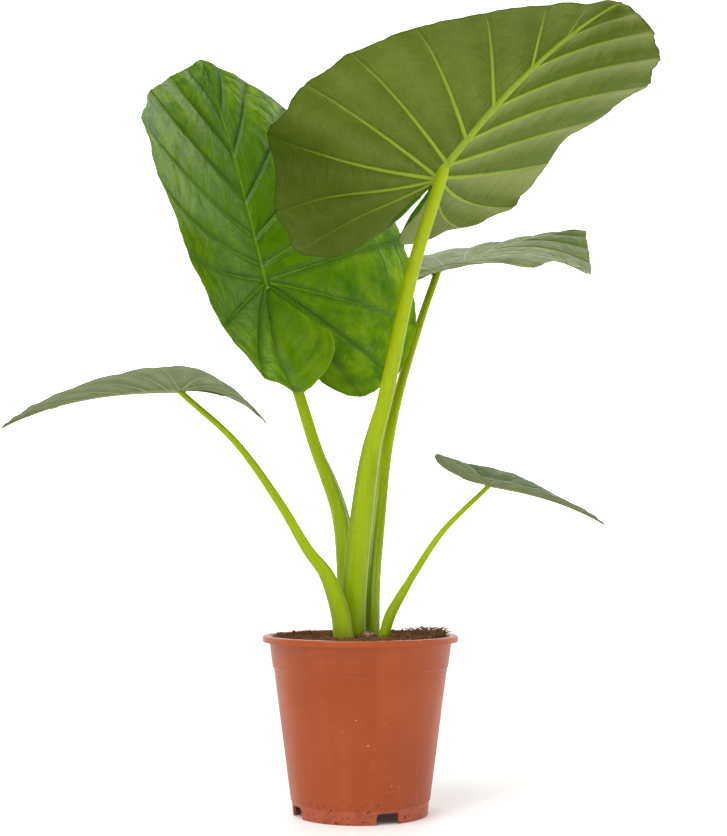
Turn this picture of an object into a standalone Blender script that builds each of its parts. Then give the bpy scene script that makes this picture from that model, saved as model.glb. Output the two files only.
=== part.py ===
"""Giant taro with five leaves, standing in its round plastic nursery pot.

Metres, +Z up. The origin is the middle of the pot's underside, and -Y is the front.
"""
import math

import bmesh
import bpy
import numpy as np

MM = 0.001
GAP = 0.3 * MM

# Pot
RIM_TOP_Z = 188.8 * MM
RIM_OUTER_R = 105.8 * MM
RIM_SKIRT_Z = 182.4 * MM
WALL_FOOT_R = 72.6 * MM
WALL_SLOPE = 0.1365
WALL = 1.5 * MM
LEDGE_Z = 155.0 * MM
LEDGE_STEP = 1.0 * MM
FOOT_Z = 14.5 * MM
FOOT_STEP = 1.0 * MM
FLOOR_Z = 14.0 * MM
PAD_R = 20.0 * MM
POT_SIDES = 60
NOTCH_ANGLES = (23, 113, 203, 293)
NOTCH_WIDTH = 24.0 * MM
NOTCH_Z = 12.0 * MM
DRAIN_COUNT = 8
DRAIN_RING_R = 48.0 * MM
DRAIN_R = 4.0 * MM

# Soil
SOIL_Z = 180.0 * MM
SOIL_BUMP = 1.6 * MM
SOIL_HEAP = 7.0 * MM
STEM_DEPTH = 34.0 * MM
STEM_STRAIGHT = 4.0 * MM

# Blades
BLADE = 1.0 * MM
MARGIN_STEPS = 10
NOTCH_Y = -0.05
OUTLINE = (
    (0.0, 1.0), (0.04, 0.95), (0.14, 0.855), (0.27, 0.69), (0.385, 0.47), (0.465, 0.22), (0.49, -0.03),
    (0.455, -0.255), (0.35, -0.44), (0.21, -0.515), (0.095, -0.46), (0.032, -0.30), (0.018, -0.14), (0.0, NOTCH_Y),
)
VEIN_STARTS = (0.70, 0.52, 0.32, 0.17, 0.06, 0.0, -0.006, -0.012, -0.018)
VEIN_ENDS = (0.035, 0.085, 0.16, 0.255, 0.36, 0.45, 0.59, 0.70, 0.77)
RAY_TOP = 0.93
RAY_LAST = -0.03
VEIN_HALF = 0.011
VEIN_BOW = 0.05
SCALLOP = 0.012

GREEN_TOP = (0.10, 0.25, 0.012)
GREEN_UNDER = (0.16, 0.22, 0.045)
GREEN_GREY = (0.17, 0.22, 0.09)
STALK_GREEN = (0.42, 0.50, 0.03)
TERRACOTTA = (0.48, 0.115, 0.045)
SOIL_BROWN = (0.10, 0.055, 0.03)
CORM_BROWN = (0.22, 0.12, 0.05)


def clear_scene():
    for item in list(bpy.data.objects):
        bpy.data.objects.remove(item, do_unlink=True)


def material(name, colour, roughness, metallic=0.0):
    made = bpy.data.materials.new(name)
    made.use_nodes = True
    shader = made.node_tree.nodes["Principled BSDF"]
    shader.inputs["Base Color"].default_value = (*colour, 1.0)
    shader.inputs["Roughness"].default_value = roughness
    shader.inputs["Metallic"].default_value = metallic
    made.diffuse_color = (*colour, 1.0)
    return made


def add_object(name, points, faces, surface, smooth_angle=40.0):
    mesh = bpy.data.meshes.new(name)
    mesh.from_pydata([tuple(map(float, point)) for point in points], [], faces)
    mesh.validate()
    mesh.materials.append(surface)
    mesh.shade_smooth()
    mesh.set_sharp_from_angle(angle=math.radians(smooth_angle))
    made = bpy.data.objects.new(name, mesh)
    bpy.context.scene.collection.objects.link(made)
    return made


def turned(name, profile, sides, surface):
    """A closed solid of revolution; the profile runs (radius, height) and may start and end on the axis."""
    points, rings = [], []
    for radius, height in profile:
        if radius < 1e-9:
            rings.append([len(points)])
            points.append((0.0, 0.0, height))
            continue
        rings.append(list(range(len(points), len(points) + sides)))
        for k in range(sides):
            angle = math.tau * k / sides
            points.append((radius * math.cos(angle), radius * math.sin(angle), height))
    faces = []
    closed = len(rings[0]) > 1
    pairs = list(zip(rings, rings[1:] + rings[:1])) if closed else list(zip(rings[:-1], rings[1:]))
    for low, high in pairs:
        for k in range(sides):
            nxt = (k + 1) % sides
            if len(low) == 1:
                faces.append((low[0], high[nxt], high[k]))
            elif len(high) == 1:
                faces.append((low[k], low[nxt], high[0]))
            else:
                faces.append((low[k], low[nxt], high[nxt], high[k]))
    return add_object(name, points, faces, surface)


def cutter_cylinder(name, centre, radius, low, high, sides=20):
    mesh = bpy.data.meshes.new(name)
    shape = bmesh.new()
    bmesh.ops.create_cone(
        shape, cap_ends=True, segments=sides, radius1=radius, radius2=radius, depth=high - low)
    bmesh.ops.translate(shape, verts=shape.verts, vec=(centre[0], centre[1], (low + high) / 2))
    shape.to_mesh(mesh)
    shape.free()
    return hide_cutter(name, mesh)


def hide_cutter(name, mesh):
    made = bpy.data.objects.new(name, mesh)
    made.hide_render = True
    made.display_type = "WIRE"
    bpy.context.scene.collection.objects.link(made)
    return made


def cut(target, cutter):
    """Subtract the cutter from the target and drop both the modifier and the cutter."""
    modifier = target.modifiers.new(cutter.name, "BOOLEAN")
    modifier.operation = "DIFFERENCE"
    modifier.solver = "EXACT"
    modifier.object = cutter
    evaluated = target.evaluated_get(bpy.context.evaluated_depsgraph_get())
    result = bpy.data.meshes.new_from_object(evaluated)
    target.modifiers.clear()
    target.data = result
    bpy.data.objects.remove(cutter, do_unlink=True)


def wall_radius(height):
    """Outer radius of the pot's wall."""
    step = LEDGE_STEP if height > LEDGE_Z else 0.0
    return WALL_FOOT_R + WALL_SLOPE * height + step


def inner_radius(height):
    return WALL_FOOT_R + WALL_SLOPE * height - WALL


def build_pot():
    flange_z = RIM_TOP_Z - 2.2 * MM
    profile = [
        (0.0, 0.0),
        (PAD_R, 0.0),
        (PAD_R + 9 * MM, FLOOR_Z - 2 * MM),
        (WALL_FOOT_R - 6 * MM, FLOOR_Z - 2 * MM),
        (WALL_FOOT_R - 2.4 * MM, FLOOR_Z - 4 * MM),
        (WALL_FOOT_R - 2.9 * MM, 0.0),
        (WALL_FOOT_R - 0.4 * MM, 0.0),
        (WALL_FOOT_R + WALL_SLOPE * FOOT_Z - FOOT_STEP, FOOT_Z),
        (wall_radius(FOOT_Z + 1 * MM), FOOT_Z + 1 * MM),
        (wall_radius(85 * MM), 85 * MM),
        (wall_radius(LEDGE_Z - 0.6 * MM), LEDGE_Z - 0.6 * MM),
        (wall_radius(LEDGE_Z + 0.6 * MM), LEDGE_Z + 0.6 * MM),
        (wall_radius(flange_z - 1 * MM), flange_z - 1 * MM),
        (wall_radius(flange_z) + 1.2 * MM, flange_z),
        (RIM_OUTER_R - 1.6 * MM, flange_z),
        (RIM_OUTER_R - 1.5 * MM, RIM_SKIRT_Z),
        (RIM_OUTER_R - 0.2 * MM, RIM_SKIRT_Z),
        (RIM_OUTER_R, RIM_SKIRT_Z + 1.5 * MM),
        (RIM_OUTER_R, RIM_TOP_Z - 1.4 * MM),
        (RIM_OUTER_R - 1.3 * MM, RIM_TOP_Z),
        (inner_radius(RIM_TOP_Z) + 1.2 * MM, RIM_TOP_Z),
        (inner_radius(RIM_TOP_Z), RIM_TOP_Z - 1.2 * MM),
        (inner_radius(100 * MM), 100 * MM),
        (inner_radius(FLOOR_Z + 4 * MM), FLOOR_Z + 4 * MM),
        (inner_radius(FLOOR_Z) - 3 * MM, FLOOR_Z),
        (PAD_R + 8 * MM, FLOOR_Z),
        (PAD_R - 1 * MM, 2 * MM),
        (0.0, 2 * MM),
    ]
    pot = turned("pot", profile, POT_SIDES, material("pot_plastic", TERRACOTTA, 0.42))
    for index, degrees in enumerate(NOTCH_ANGLES):
        cut(pot, notch_cutter(f"notch_{index}", degrees))
    for index in range(DRAIN_COUNT):
        angle = math.tau * (index + 0.5) / DRAIN_COUNT
        centre = (DRAIN_RING_R * math.cos(angle), DRAIN_RING_R * math.sin(angle))
        cut(pot, cutter_cylinder(f"drain_{index}", centre, DRAIN_R, FLOOR_Z - 6 * MM, FLOOR_Z + 4 * MM, 12))
    pot.data.shade_smooth()
    pot.data.set_sharp_from_angle(angle=math.radians(40))
    return pot


def notch_cutter(name, degrees):
    """A block through the foot ring, a little wider at the bottom. Angles run clockwise from the front."""
    half_low, half_high = NOTCH_WIDTH / 2 + 1 * MM, NOTCH_WIDTH / 2
    near, far = WALL_FOOT_R - 5 * MM, WALL_FOOT_R + 8 * MM
    low, high = -3 * MM, NOTCH_Z
    corners = [(side * half, out, height)
               for height, half in ((low, half_low), (high, half_high))
               for side, out in ((-1, near), (1, near), (1, far), (-1, far))]
    turn = math.radians(degrees)
    facing = (math.sin(turn), -math.cos(turn))
    across = (math.cos(turn), math.sin(turn))
    points = [(across[0] * x + facing[0] * y, across[1] * x + facing[1] * y, z) for x, y, z in corners]
    faces = [(0, 1, 2, 3), (7, 6, 5, 4), (0, 4, 5, 1), (1, 5, 6, 2), (2, 6, 7, 3), (3, 7, 4, 0)]
    mesh = bpy.data.meshes.new(name)
    mesh.from_pydata(points, [], faces)
    shape = bmesh.new()
    shape.from_mesh(mesh)
    bmesh.ops.recalc_face_normals(shape, faces=shape.faces)
    shape.to_mesh(mesh)
    shape.free()
    return hide_cutter(name, mesh)


def soil_height(x, y):
    """Height of the soil's surface: low lumps and a loose heap against the right of the rim."""
    lumps = math.sin(95 * x + 1.0) * math.cos(120 * y) + 0.6 * math.sin(210 * y + 60 * x)
    heap = math.exp(-((x - 74 * MM) ** 2 + (y + 8 * MM) ** 2) / (26 * MM) ** 2)
    return SOIL_Z + SOIL_BUMP * lumps / 1.6 + SOIL_HEAP * heap


def build_soil(holes):
    sides = 36
    top_fractions = (1.0, 0.93, 0.8, 0.62, 0.42, 0.2)
    floor = FLOOR_Z + GAP
    radius_top = inner_radius(SOIL_Z) - 0.6 * MM
    points, rings = [], []

    def ring(radius, height_of):
        rings.append(list(range(len(points), len(points) + sides)))
        for k in range(sides):
            angle = math.tau * k / sides
            x, y = radius * math.cos(angle), radius * math.sin(angle)
            points.append((x, y, height_of(x, y)))

    for radius, height in ((PAD_R + 9 * MM, floor), (inner_radius(floor) - 4 * MM, floor),
                           (inner_radius(floor + 5 * MM) - 0.6 * MM, floor + 5 * MM)):
        ring(radius, lambda x, y, level=height: level)
    for fraction in top_fractions:
        ring(radius_top * fraction, soil_height)
    faces = []
    for low, high in zip(rings[:-1], rings[1:]):
        faces += [(low[k], low[(k + 1) % sides], high[(k + 1) % sides], high[k]) for k in range(sides)]
    bottom, top = len(points), len(points) + 1
    points += [(0.0, 0.0, floor), (0.0, 0.0, soil_height(0.0, 0.0))]
    faces += [(rings[0][(k + 1) % sides], rings[0][k], bottom) for k in range(sides)]
    faces += [(rings[-1][k], rings[-1][(k + 1) % sides], top) for k in range(sides)]
    soil = add_object("soil", points, faces, material("potting_mix", SOIL_BROWN, 0.95))
    for index, (centre, radius, depth) in enumerate(holes):
        cut(soil, cutter_cylinder(f"hole_{index}", centre, radius + GAP, SOIL_Z - depth - GAP, SOIL_Z + 30 * MM))
    return soil


def spline(points, steps):
    """Centripetal curve through the points, as an array with the given number of steps for each span."""
    given = np.asarray(points, float)
    ends = np.vstack([2 * given[0] - given[1], given, 2 * given[-1] - given[-2]])
    out = []
    for k in range(1, len(ends) - 2):
        p0, p1, p2, p3 = ends[k - 1:k + 3]
        t1 = max(np.linalg.norm(p1 - p0), 1e-9) ** 0.5
        t2 = t1 + max(np.linalg.norm(p2 - p1), 1e-9) ** 0.5
        t3 = t2 + max(np.linalg.norm(p3 - p2), 1e-9) ** 0.5
        for t in np.linspace(t1, t2, steps, endpoint=False):
            a1 = (t1 - t) / t1 * p0 + t / t1 * p1
            a2 = (t2 - t) / (t2 - t1) * p1 + (t - t1) / (t2 - t1) * p2
            a3 = (t3 - t) / (t3 - t2) * p2 + (t - t2) / (t3 - t2) * p3
            b1 = (t2 - t) / t2 * a1 + t / t2 * a2
            b2 = (t3 - t) / (t3 - t1) * a2 + (t - t1) / (t3 - t1) * a3
            out.append((t2 - t) / (t2 - t1) * b1 + (t - t1) / (t2 - t1) * b2)
    out.append(given[-1])
    return np.array(out)


def lengths_along(points):
    steps = np.linalg.norm(np.diff(points, axis=0), axis=1)
    return np.concatenate([[0.0], np.cumsum(steps)])


def unit(vector):
    return vector / np.linalg.norm(vector)


def leaf_axes(leaf):
    """Directions of a blade at its stalk: towards the tip, to its right, and out of its upper face."""
    azimuth, pitch, roll = (math.radians(leaf[key]) for key in ("azimuth", "pitch", "roll"))
    forward = np.array([math.cos(azimuth) * math.cos(pitch), math.sin(azimuth) * math.cos(pitch), math.sin(pitch)])
    level = np.array([math.sin(azimuth), -math.cos(azimuth), 0.0])
    side = level * math.cos(roll) + np.cross(level, forward) * math.sin(roll)
    return forward, side, np.cross(side, forward)


def smooth_step(value):
    value = np.clip(value, 0.0, 1.0)
    return value * value * (3 - 2 * value)


def bend_blade(leaf, x, y, half):
    """Carry flat blade points (x to the right, y to the tip, as shares of the length) into space."""
    length = leaf["length"]
    key = "right" if half > 0 else "left"
    u = np.linspace(-0.7, 1.1, 361)
    middle = np.argmin(np.abs(u))
    droop = leaf["droop"] * np.clip(u, 0.0, None) ** leaf["droop_power"]
    lobe_droop = leaf["lobe_droop_" + key] * np.clip(NOTCH_Y - u, 0.0, None) / 0.45
    slope = np.radians(droop - lobe_droop)
    step = u[1] - u[0]
    along = np.concatenate([[0], np.cumsum(np.cos(slope[1:]) + np.cos(slope[:-1]))]) * step / 2
    lift = -np.concatenate([[0], np.cumsum(np.sin(slope[1:]) + np.sin(slope[:-1]))]) * step / 2
    spine_along = np.interp(y, u, along - along[middle])
    spine_lift = np.interp(y, u, lift - lift[middle])
    tilt = np.interp(y, u, slope)
    base, tip, lobe = leaf["fold_" + key]
    fold = base + (tip - base) * smooth_step(y) + (lobe - base) * smooth_step(-y / 0.5)
    fold = np.radians(fold)
    curl = np.radians(leaf["curl_" + key]) / 0.5
    out = x * half
    across = (np.sin(fold + curl * out) - np.sin(fold)) / curl * half
    rise = -(np.cos(fold + curl * out) - np.cos(fold)) / curl
    crossed = np.clip(-out, 0.0, None)
    rise = np.where(out < 0, leaf["lap_lift"] * crossed, rise)
    across = np.where(out < 0, x, across)
    twist = np.radians(leaf["twist"] * np.clip(y, 0, None) + leaf["lobe_twist"] * np.clip(-y, 0, None) / 0.5)
    sweep = leaf["sweep"] * np.clip(y, 0, None) ** 2 + leaf["lobe_sweep"] * np.clip(-y, 0, None) ** 2 / 0.25
    local_x = across * np.cos(twist) - rise * np.sin(twist) + sweep
    local_z = across * np.sin(twist) + rise * np.cos(twist)
    local_y = spine_along + local_z * np.sin(tilt)
    local_up = spine_lift + local_z * np.cos(tilt)
    forward, side, upper = leaf_axes(leaf)
    offset = local_y[..., None] * forward + local_x[..., None] * side + local_up[..., None] * upper
    return leaf["joint"] + length * offset


def ray_samples(leaf, ribs):
    """Shares of the margin, from tip to notch, where a ray meets it: three round each rib, one between two."""
    starts, ends = leaf["veins"]
    marks = [(0.0, 0.0, 0.0)]
    bounds = [0.0] + list(ends) + [1.0]
    for index, end in enumerate(ends):
        gap = end - bounds[index]
        half_width = min(VEIN_HALF, gap * 0.22)
        if gap > 0.03:
            marks.append(((end + bounds[index]) / 2, 0.0, 1.0))
        marks.append((end - half_width, 0.0, 0.25))
        marks.append((end, 1.0, 0.0))
        after = bounds[index + 2] - end
        marks.append((end + min(VEIN_HALF, after * 0.22), 0.0, 0.25))
    last = ends[-1]
    for share in (0.3, 0.55, 0.8):
        marks.append((last + (1 - last) * share, 0.0, 0.6))
    marks.append((1.0, 0.0, 0.0))
    return marks if ribs else [mark for mark in marks if mark[1] == 0.0]


def blade_grid(leaf, half):
    """Flat points of one half: rays from the spine to the margin, with rib height and puff for each."""
    outline = leaf["outline_right"] if half > 0 else leaf["outline_left"]
    margin = spline(outline, MARGIN_STEPS) * (leaf["width"], 1.0)
    share = lengths_along(margin) / lengths_along(margin)[-1]
    starts, ends = leaf["veins"]
    bounds = [0.0] + list(ends) + [1.0]
    spine_y = [RAY_TOP] + list(starts) + [RAY_LAST]
    tiers = leaf["tiers"]
    grid = []
    for mark, rib, puff in ray_samples(leaf, True):
        end = np.array([np.interp(mark, share, margin[:, 0]), np.interp(mark, share, margin[:, 1])])
        start = np.array([0.0, np.interp(mark, bounds, spine_y)])
        bay = np.interp(mark, bounds, np.arange(len(bounds)))
        inward = 1.0 - SCALLOP * abs(math.sin(math.pi * bay)) * (1.0 if 0.02 < mark < 0.8 else 0.0) / 0.5
        row = []
        reach = max(np.linalg.norm(end - start), 1e-6)
        for tier, t in enumerate(tiers):
            t = t if tier != 1 else min(t, leaf["keel"] / reach)
            flat = start + (end - start) * t * (inward if tier == len(tiers) - 1 else 1.0)
            flat[1] += VEIN_BOW * reach * 4 * t * (1 - t) * (0.5 - mark) * -1.0
            row.append((flat[0] * half, flat[1], t, rib, puff))
        grid.append(row)
    return grid


def split_quad(quad, turn, on_spine):
    """Two triangles of a quad, never with a flat one along the spine, and without collapsed ones."""
    ways = [((0, 1, 2), (0, 2, 3)), ((0, 1, 3), (1, 2, 3))]
    for cuts in (ways[1 - turn], ways[turn]):
        triangles = [tuple(quad[corner] for corner in corners) for corners in cuts]
        triangles = [triangle for triangle in triangles if len(set(triangle)) == 3]
        if not any(all(on_spine(index) for index in triangle) for triangle in triangles):
            break
    return triangles


def build_blade(name, leaf, surface):
    """A thin solid of the blade, its margin waved between ribs, with ribs standing out of its underside."""
    lookup, flats, triangles = {}, [], []

    def vertex(point, half):
        x, y = point[0], point[1]
        key = (round(x, 5), round(y, 5), half if abs(x) > 1e-6 else 0)
        if key not in lookup:
            lookup[key] = len(flats)
            flats.append((x, y, half, *point[2:]))
        return lookup[key]

    for half in (1, -1):
        grid = blade_grid(leaf, half)
        indices = [[vertex(point, half) for point in row] for row in grid]
        for row, (near, far) in enumerate(zip(indices[:-1], indices[1:])):
            for tier in range(len(near) - 1):
                quad = (near[tier], near[tier + 1], far[tier + 1], far[tier])
                for triangle in split_quad(quad, (row + tier) % 2, lambda index: abs(flats[index][0]) < 1e-6):
                    triangles.append(triangle[::-1] if half > 0 else triangle)
    flats = np.array(flats)
    place = np.empty((len(flats), 3))
    for half in (1, -1):
        chosen = flats[:, 2] == half
        place[chosen] = bend_blade(leaf, flats[chosen, 0], flats[chosen, 1], half)
    faces = np.array(triangles)
    t, rib, puff = flats[:, 3], flats[:, 4], flats[:, 5]
    normals = vertex_normals(place, faces)
    place = place + normals * (leaf["puff"] * puff * t ** 0.8)[:, None]
    normals = vertex_normals(place, faces)
    x, y = np.abs(flats[:, 0]), flats[:, 1]
    keel = leaf["keel_height"] * np.clip(1 - np.clip(y, 0, 1), 0, 1) ** 0.7 * (x < 1e-6)
    keel = np.where((x < 1e-6) & (y < RAY_LAST + 0.001), 0.0, keel)
    ribs = leaf["rib_height"] * rib * np.clip(1 - t, 0, 1) ** 0.8 * (t > 1e-6)
    top = place + normals * BLADE / 2
    bottom = place - normals * (BLADE / 2 + np.maximum(keel, ribs))[:, None]
    count = len(flats)
    solid = [tuple(face) for face in faces] + [tuple(face[::-1] + count) for face in faces]
    solid += rim_faces(faces, count)
    return add_object(name, np.vstack([top, bottom]), solid, surface, 60.0)


def vertex_normals(points, faces):
    corners = points[faces]
    area = np.cross(corners[:, 1] - corners[:, 0], corners[:, 2] - corners[:, 0])
    normals = np.zeros_like(points)
    for corner in range(3):
        np.add.at(normals, faces[:, corner], area)
    return normals / np.maximum(np.linalg.norm(normals, axis=1), 1e-12)[:, None]


def rim_faces(faces, count):
    """Quads, as pairs of triangles, that close the open edge between the two faces."""
    edges = {}
    for a, b, c in faces:
        for first, second in ((a, b), (b, c), (c, a)):
            edges[(first, second)] = edges.get((first, second), 0) + 1
    out = []
    for first, second in edges:
        if (second, first) not in edges:
            out.append((second, first, first + count))
            out.append((second, first + count, second + count))
    return out


def stalk_rings(stalk):
    """Centres, radii and sheath widths along a stalk, from the bottom of its hole to its blade."""
    route = np.array(stalk["route"], float) * MM
    foot = np.array([route[0][0], route[0][1], SOIL_Z - stalk["depth"]])
    path = spline(route, 4)
    centres = np.vstack([foot, path])
    positions = lengths_along(path)
    marks = positions[::4]
    radii = np.interp(positions, marks, stalk["radii"]) * MM
    wings = np.interp(positions, marks, stalk["sheath"]) * MM
    return centres, np.concatenate([radii[:1], radii]), np.concatenate([[0.0], wings])


def build_stalk(name, stalk, leaf, surface):
    """A tapering stalk; the sheath at its foot is two low fins that face the middle of the plant."""
    sides = stalk["sides"]
    centres, radii, wings = stalk_rings(stalk)
    tangents = np.gradient(centres, axis=0)
    tangents[0] = tangents[1] = (0, 0, 1)
    _, _, upper = leaf_axes(leaf)
    seat = leaf["joint"] - upper * (leaf["keel_height"] + BLADE / 2 + GAP)
    points = []
    for index, centre in enumerate(centres):
        along = unit(tangents[index])
        toward = np.array(stalk["faces"], float)
        toward = unit(toward - along * toward.dot(along))
        across = np.cross(along, toward)
        for k in range(sides):
            angle = math.tau * k / sides
            fins = sum(math.exp(-(math.remainder(angle - fin, math.tau) / 0.42) ** 2) for fin in (0.75, -0.75))
            radius = radii[index] + wings[index] * fins
            point = centre + radius * (math.cos(angle) * toward + math.sin(angle) * across)
            if index == len(centres) - 1:
                point = point - along * (point - seat).dot(upper) / along.dot(upper)
            points.append(point)
    faces = [tuple(range(sides - 1, -1, -1))]
    for row in range(len(centres) - 1):
        for k in range(sides):
            nxt = (k + 1) % sides
            low, high = row * sides, (row + 1) * sides
            faces.append((low + k, low + nxt, high + nxt, high + k))
    faces.append(tuple(range((len(centres) - 1) * sides, len(centres) * sides)))
    return add_object(name, points, faces, surface)


def build_corm(centre, radius, depth, surface):
    """The squat brown lump between the stalks, ringed by old leaf scars."""
    base = SOIL_Z - depth
    height = 11 * MM
    profile = [(0.0, base), (radius * 0.95, base), (radius, SOIL_Z + 2 * MM)]
    for share, width in ((0.35, 1.02), (0.42, 0.9), (0.62, 0.86), (0.68, 0.7), (0.86, 0.6), (0.92, 0.42)):
        profile.append((radius * width, SOIL_Z + 2 * MM + height * share))
    profile.append((0.0, SOIL_Z + 2 * MM + height))
    corm = turned("corm", profile, 14, surface)
    for vertex in corm.data.vertices:
        vertex.co.x += centre[0]
        vertex.co.y += centre[1]
    return corm


def leaf_settings(**values):
    """One blade's values, with the ones that all blades share."""
    settings = dict(
        outline_right=OUTLINE, outline_left=OUTLINE, veins=(VEIN_STARTS, VEIN_ENDS), width=1.0, droop_power=1.5,
        lobe_twist=0.0, sweep=0.0, lobe_sweep=0.0, lap_lift=0.5, tiers=(0.0, 0.03, 0.3, 0.6, 0.84, 1.0),
        keel=0.016, keel_height=3.2 * MM, rib_height=1.6 * MM, puff=4.0 * MM)
    settings.update(values)
    settings["joint"] = np.array(settings["joint"], float) * MM
    settings["length"] *= MM
    return settings


TALL_OUTLINE = (
    (0.0, 0.995), (0.052, 0.955), (0.165, 0.858), (0.304, 0.686), (0.432, 0.472), (0.518, 0.221), (0.545, -0.03),
    (0.498, -0.255), (0.384, -0.44), (0.23, -0.515), (0.103, -0.458), (0.036, -0.30), (0.02, -0.14), (0.0, NOTCH_Y))
BROAD_OUTLINE = (
    (0.0, 1.0), (0.048, 0.955), (0.158, 0.865), (0.308, 0.707), (0.437, 0.49), (0.512, 0.23), (0.52, -0.03),
    (0.475, -0.262), (0.355, -0.447))
BACK_LEFT_LOBE = BROAD_OUTLINE + (
    (0.18, -0.51), (0.04, -0.50), (-0.07, -0.42), (-0.10, -0.31), (-0.07, -0.20), (0.0, NOTCH_Y))
BACK_RIGHT_LOBE = BROAD_OUTLINE + (
    (0.23, -0.505), (0.13, -0.46), (0.07, -0.36), (0.05, -0.24), (0.04, -0.13), (0.0, NOTCH_Y))
SHORT_LOBE = OUTLINE[:7] + (
    (0.40, -0.175), (0.28, -0.28), (0.175, -0.33), (0.09, -0.31), (0.035, -0.23), (0.018, -0.12), (0.0, NOTCH_Y))

LEAVES = {
    "tall": leaf_settings(
        joint=(81.1, -100.0, 667.6), length=303, width=1.09, azimuth=-46.5, pitch=39.1, roll=50.8, droop=50.8,
        lobe_droop_right=24.0, lobe_droop_left=-43.5, fold_right=(-20.1, -5.0, 32.0), fold_left=(57.9, -5.1, 47.7),
        curl_right=-12.8, curl_left=5.2, twist=-29.4, lobe_twist=-6.1, sweep=-0.145, lobe_sweep=0.035,
        outline_right=TALL_OUTLINE, outline_left=TALL_OUTLINE),
    "back_left": leaf_settings(
        joint=(-105.5, 0.0, 577.7), length=298, width=1.324, azimuth=165.1, pitch=75.2, roll=24.0, droop=20.2,
        lobe_droop_right=-4.6, lobe_droop_left=-32.9, fold_right=(28.8, 2.2, 33.0), fold_left=(-0.8, -1.3, -0.6),
        curl_right=-17.8, curl_left=30.3, twist=11.5, lobe_twist=-4.8, sweep=0.11, lobe_sweep=-0.049,
        outline_left=BACK_LEFT_LOBE, outline_right=BACK_RIGHT_LOBE, lap_lift=0.9),
    "back_right": leaf_settings(
        joint=(98.0, 246.0, 636.8), length=326, width=1.052, azimuth=42.6, pitch=23.0, roll=1.2, droop=14.8,
        droop_power=1.84, lobe_droop_right=9.6, lobe_droop_left=9.6, fold_right=(5.7, -38.5, 25.8),
        fold_left=(8.6, -5.5, 4.7), curl_right=-24.7, curl_left=-4.6, twist=-8.6, sweep=-0.007,
        lobe_sweep=0.009, outline_right=SHORT_LOBE, outline_left=SHORT_LOBE),
    "low_left": leaf_settings(
        joint=(-192.0, -50.0, 449.3), length=193, width=0.951, azimuth=185.1, pitch=-1.1, roll=4.0, droop=27.8,
        droop_power=1.44, lobe_droop_right=49.8, lobe_droop_left=49.8, fold_right=(18.6, 9.2, 13.8),
        fold_left=(25.5, 8.2, 9.6), curl_right=-30.4, curl_left=-26.1, twist=-2.6, sweep=-0.004,
        keel_height=2.0 * MM, rib_height=1.0 * MM, puff=2.0 * MM, tiers=(0.0, 0.03, 0.35, 0.7, 1.0)),
    "low_right": leaf_settings(
        joint=(137.7, -30.0, 349.7), length=130, width=0.953, azimuth=-4.5, pitch=-10.4, roll=-4.3, droop=21.8,
        lobe_droop_right=-22.3, lobe_droop_left=-22.3, fold_right=(17.9, 10.5, 29.3), fold_left=(24.1, 7.6, 22.6),
        curl_right=-23.1, curl_left=-15.6, twist=2.9, keel_height=1.6 * MM, rib_height=0.8 * MM, puff=1.3 * MM,
        tiers=(0.0, 0.03, 0.35, 0.7, 1.0)),
}

STALKS = {
    "tall": dict(
        route=((-6, 2, 184), (-5, 0, 226), (3, -6, 315), (13, -18, 390), (27, -32, 445), (57, -74, 581),
               (80.5, -98, 655)),
        radii=(11.0, 11.2, 10.6, 9.0, 8.0, 7.0, 6.3), sheath=(0.0, 5.0, 5.0, 3.0, 0.0, 0.0, 0.0),
        faces=(-1.0, 0.35, 0.0), sides=14, depth=STEM_DEPTH),
    "back_left": dict(
        route=((-17, 27, 184), (-17, 30, 240), (-23, 38, 315), (-37, 40, 360), (-49.5, 40, 392), (-73, 38, 466),
               (-99, 28, 541), (-105, 7, 573)),
        radii=(9.0, 9.2, 8.6, 7.8, 7.0, 6.2, 5.6, 5.2), sheath=(0.0, 3.0, 4.0, 2.6, 0.0, 0.0, 0.0, 0.0),
        faces=(1.0, -0.2, 0.3), sides=12, depth=STEM_DEPTH),
    "back_right": dict(
        route=((13, 23, 184), (14, 31, 240), (21, 50, 320), (30, 74, 396), (44, 101, 461), (74, 180, 562),
               (96.9, 242.5, 631)),
        radii=(8.0, 8.0, 7.4, 6.7, 5.8, 4.9, 4.6), sheath=(0.0, 2.5, 2.5, 0.0, 0.0, 0.0, 0.0),
        faces=(-1.0, -0.6, 0.3), sides=12, depth=STEM_DEPTH),
    "low_left": dict(
        route=((-17.5, -25, 184), (-22, -26, 212), (-37, -29, 254), (-56, -31, 280), (-85, -37.5, 329),
               (-133, -45, 395), (-188, -50, 445)),
        radii=(11.0, 9.6, 7.0, 5.6, 4.9, 3.6, 3.1), sheath=(0.0, 3.0, 3.0, 1.5, 0.0, 0.0, 0.0),
        faces=(1.0, 0.2, 1.0), sides=12, depth=STEM_DEPTH),
    "low_right": dict(
        route=((24, -12, 184), (32, -13, 210), (44, -15, 232), (57, -18, 254), (88, -24, 300), (135.5, -30, 347)),
        radii=(5.8, 5.6, 4.6, 3.9, 3.2, 2.4), sheath=(0.0, 1.6, 1.4, 0.0, 0.0, 0.0),
        faces=(-1.0, 0.2, 1.0), sides=10, depth=STEM_DEPTH),
}
CORM = dict(centre=(8.6 * MM, -14.5 * MM), radius=7.6 * MM, depth=14 * MM)


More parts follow.
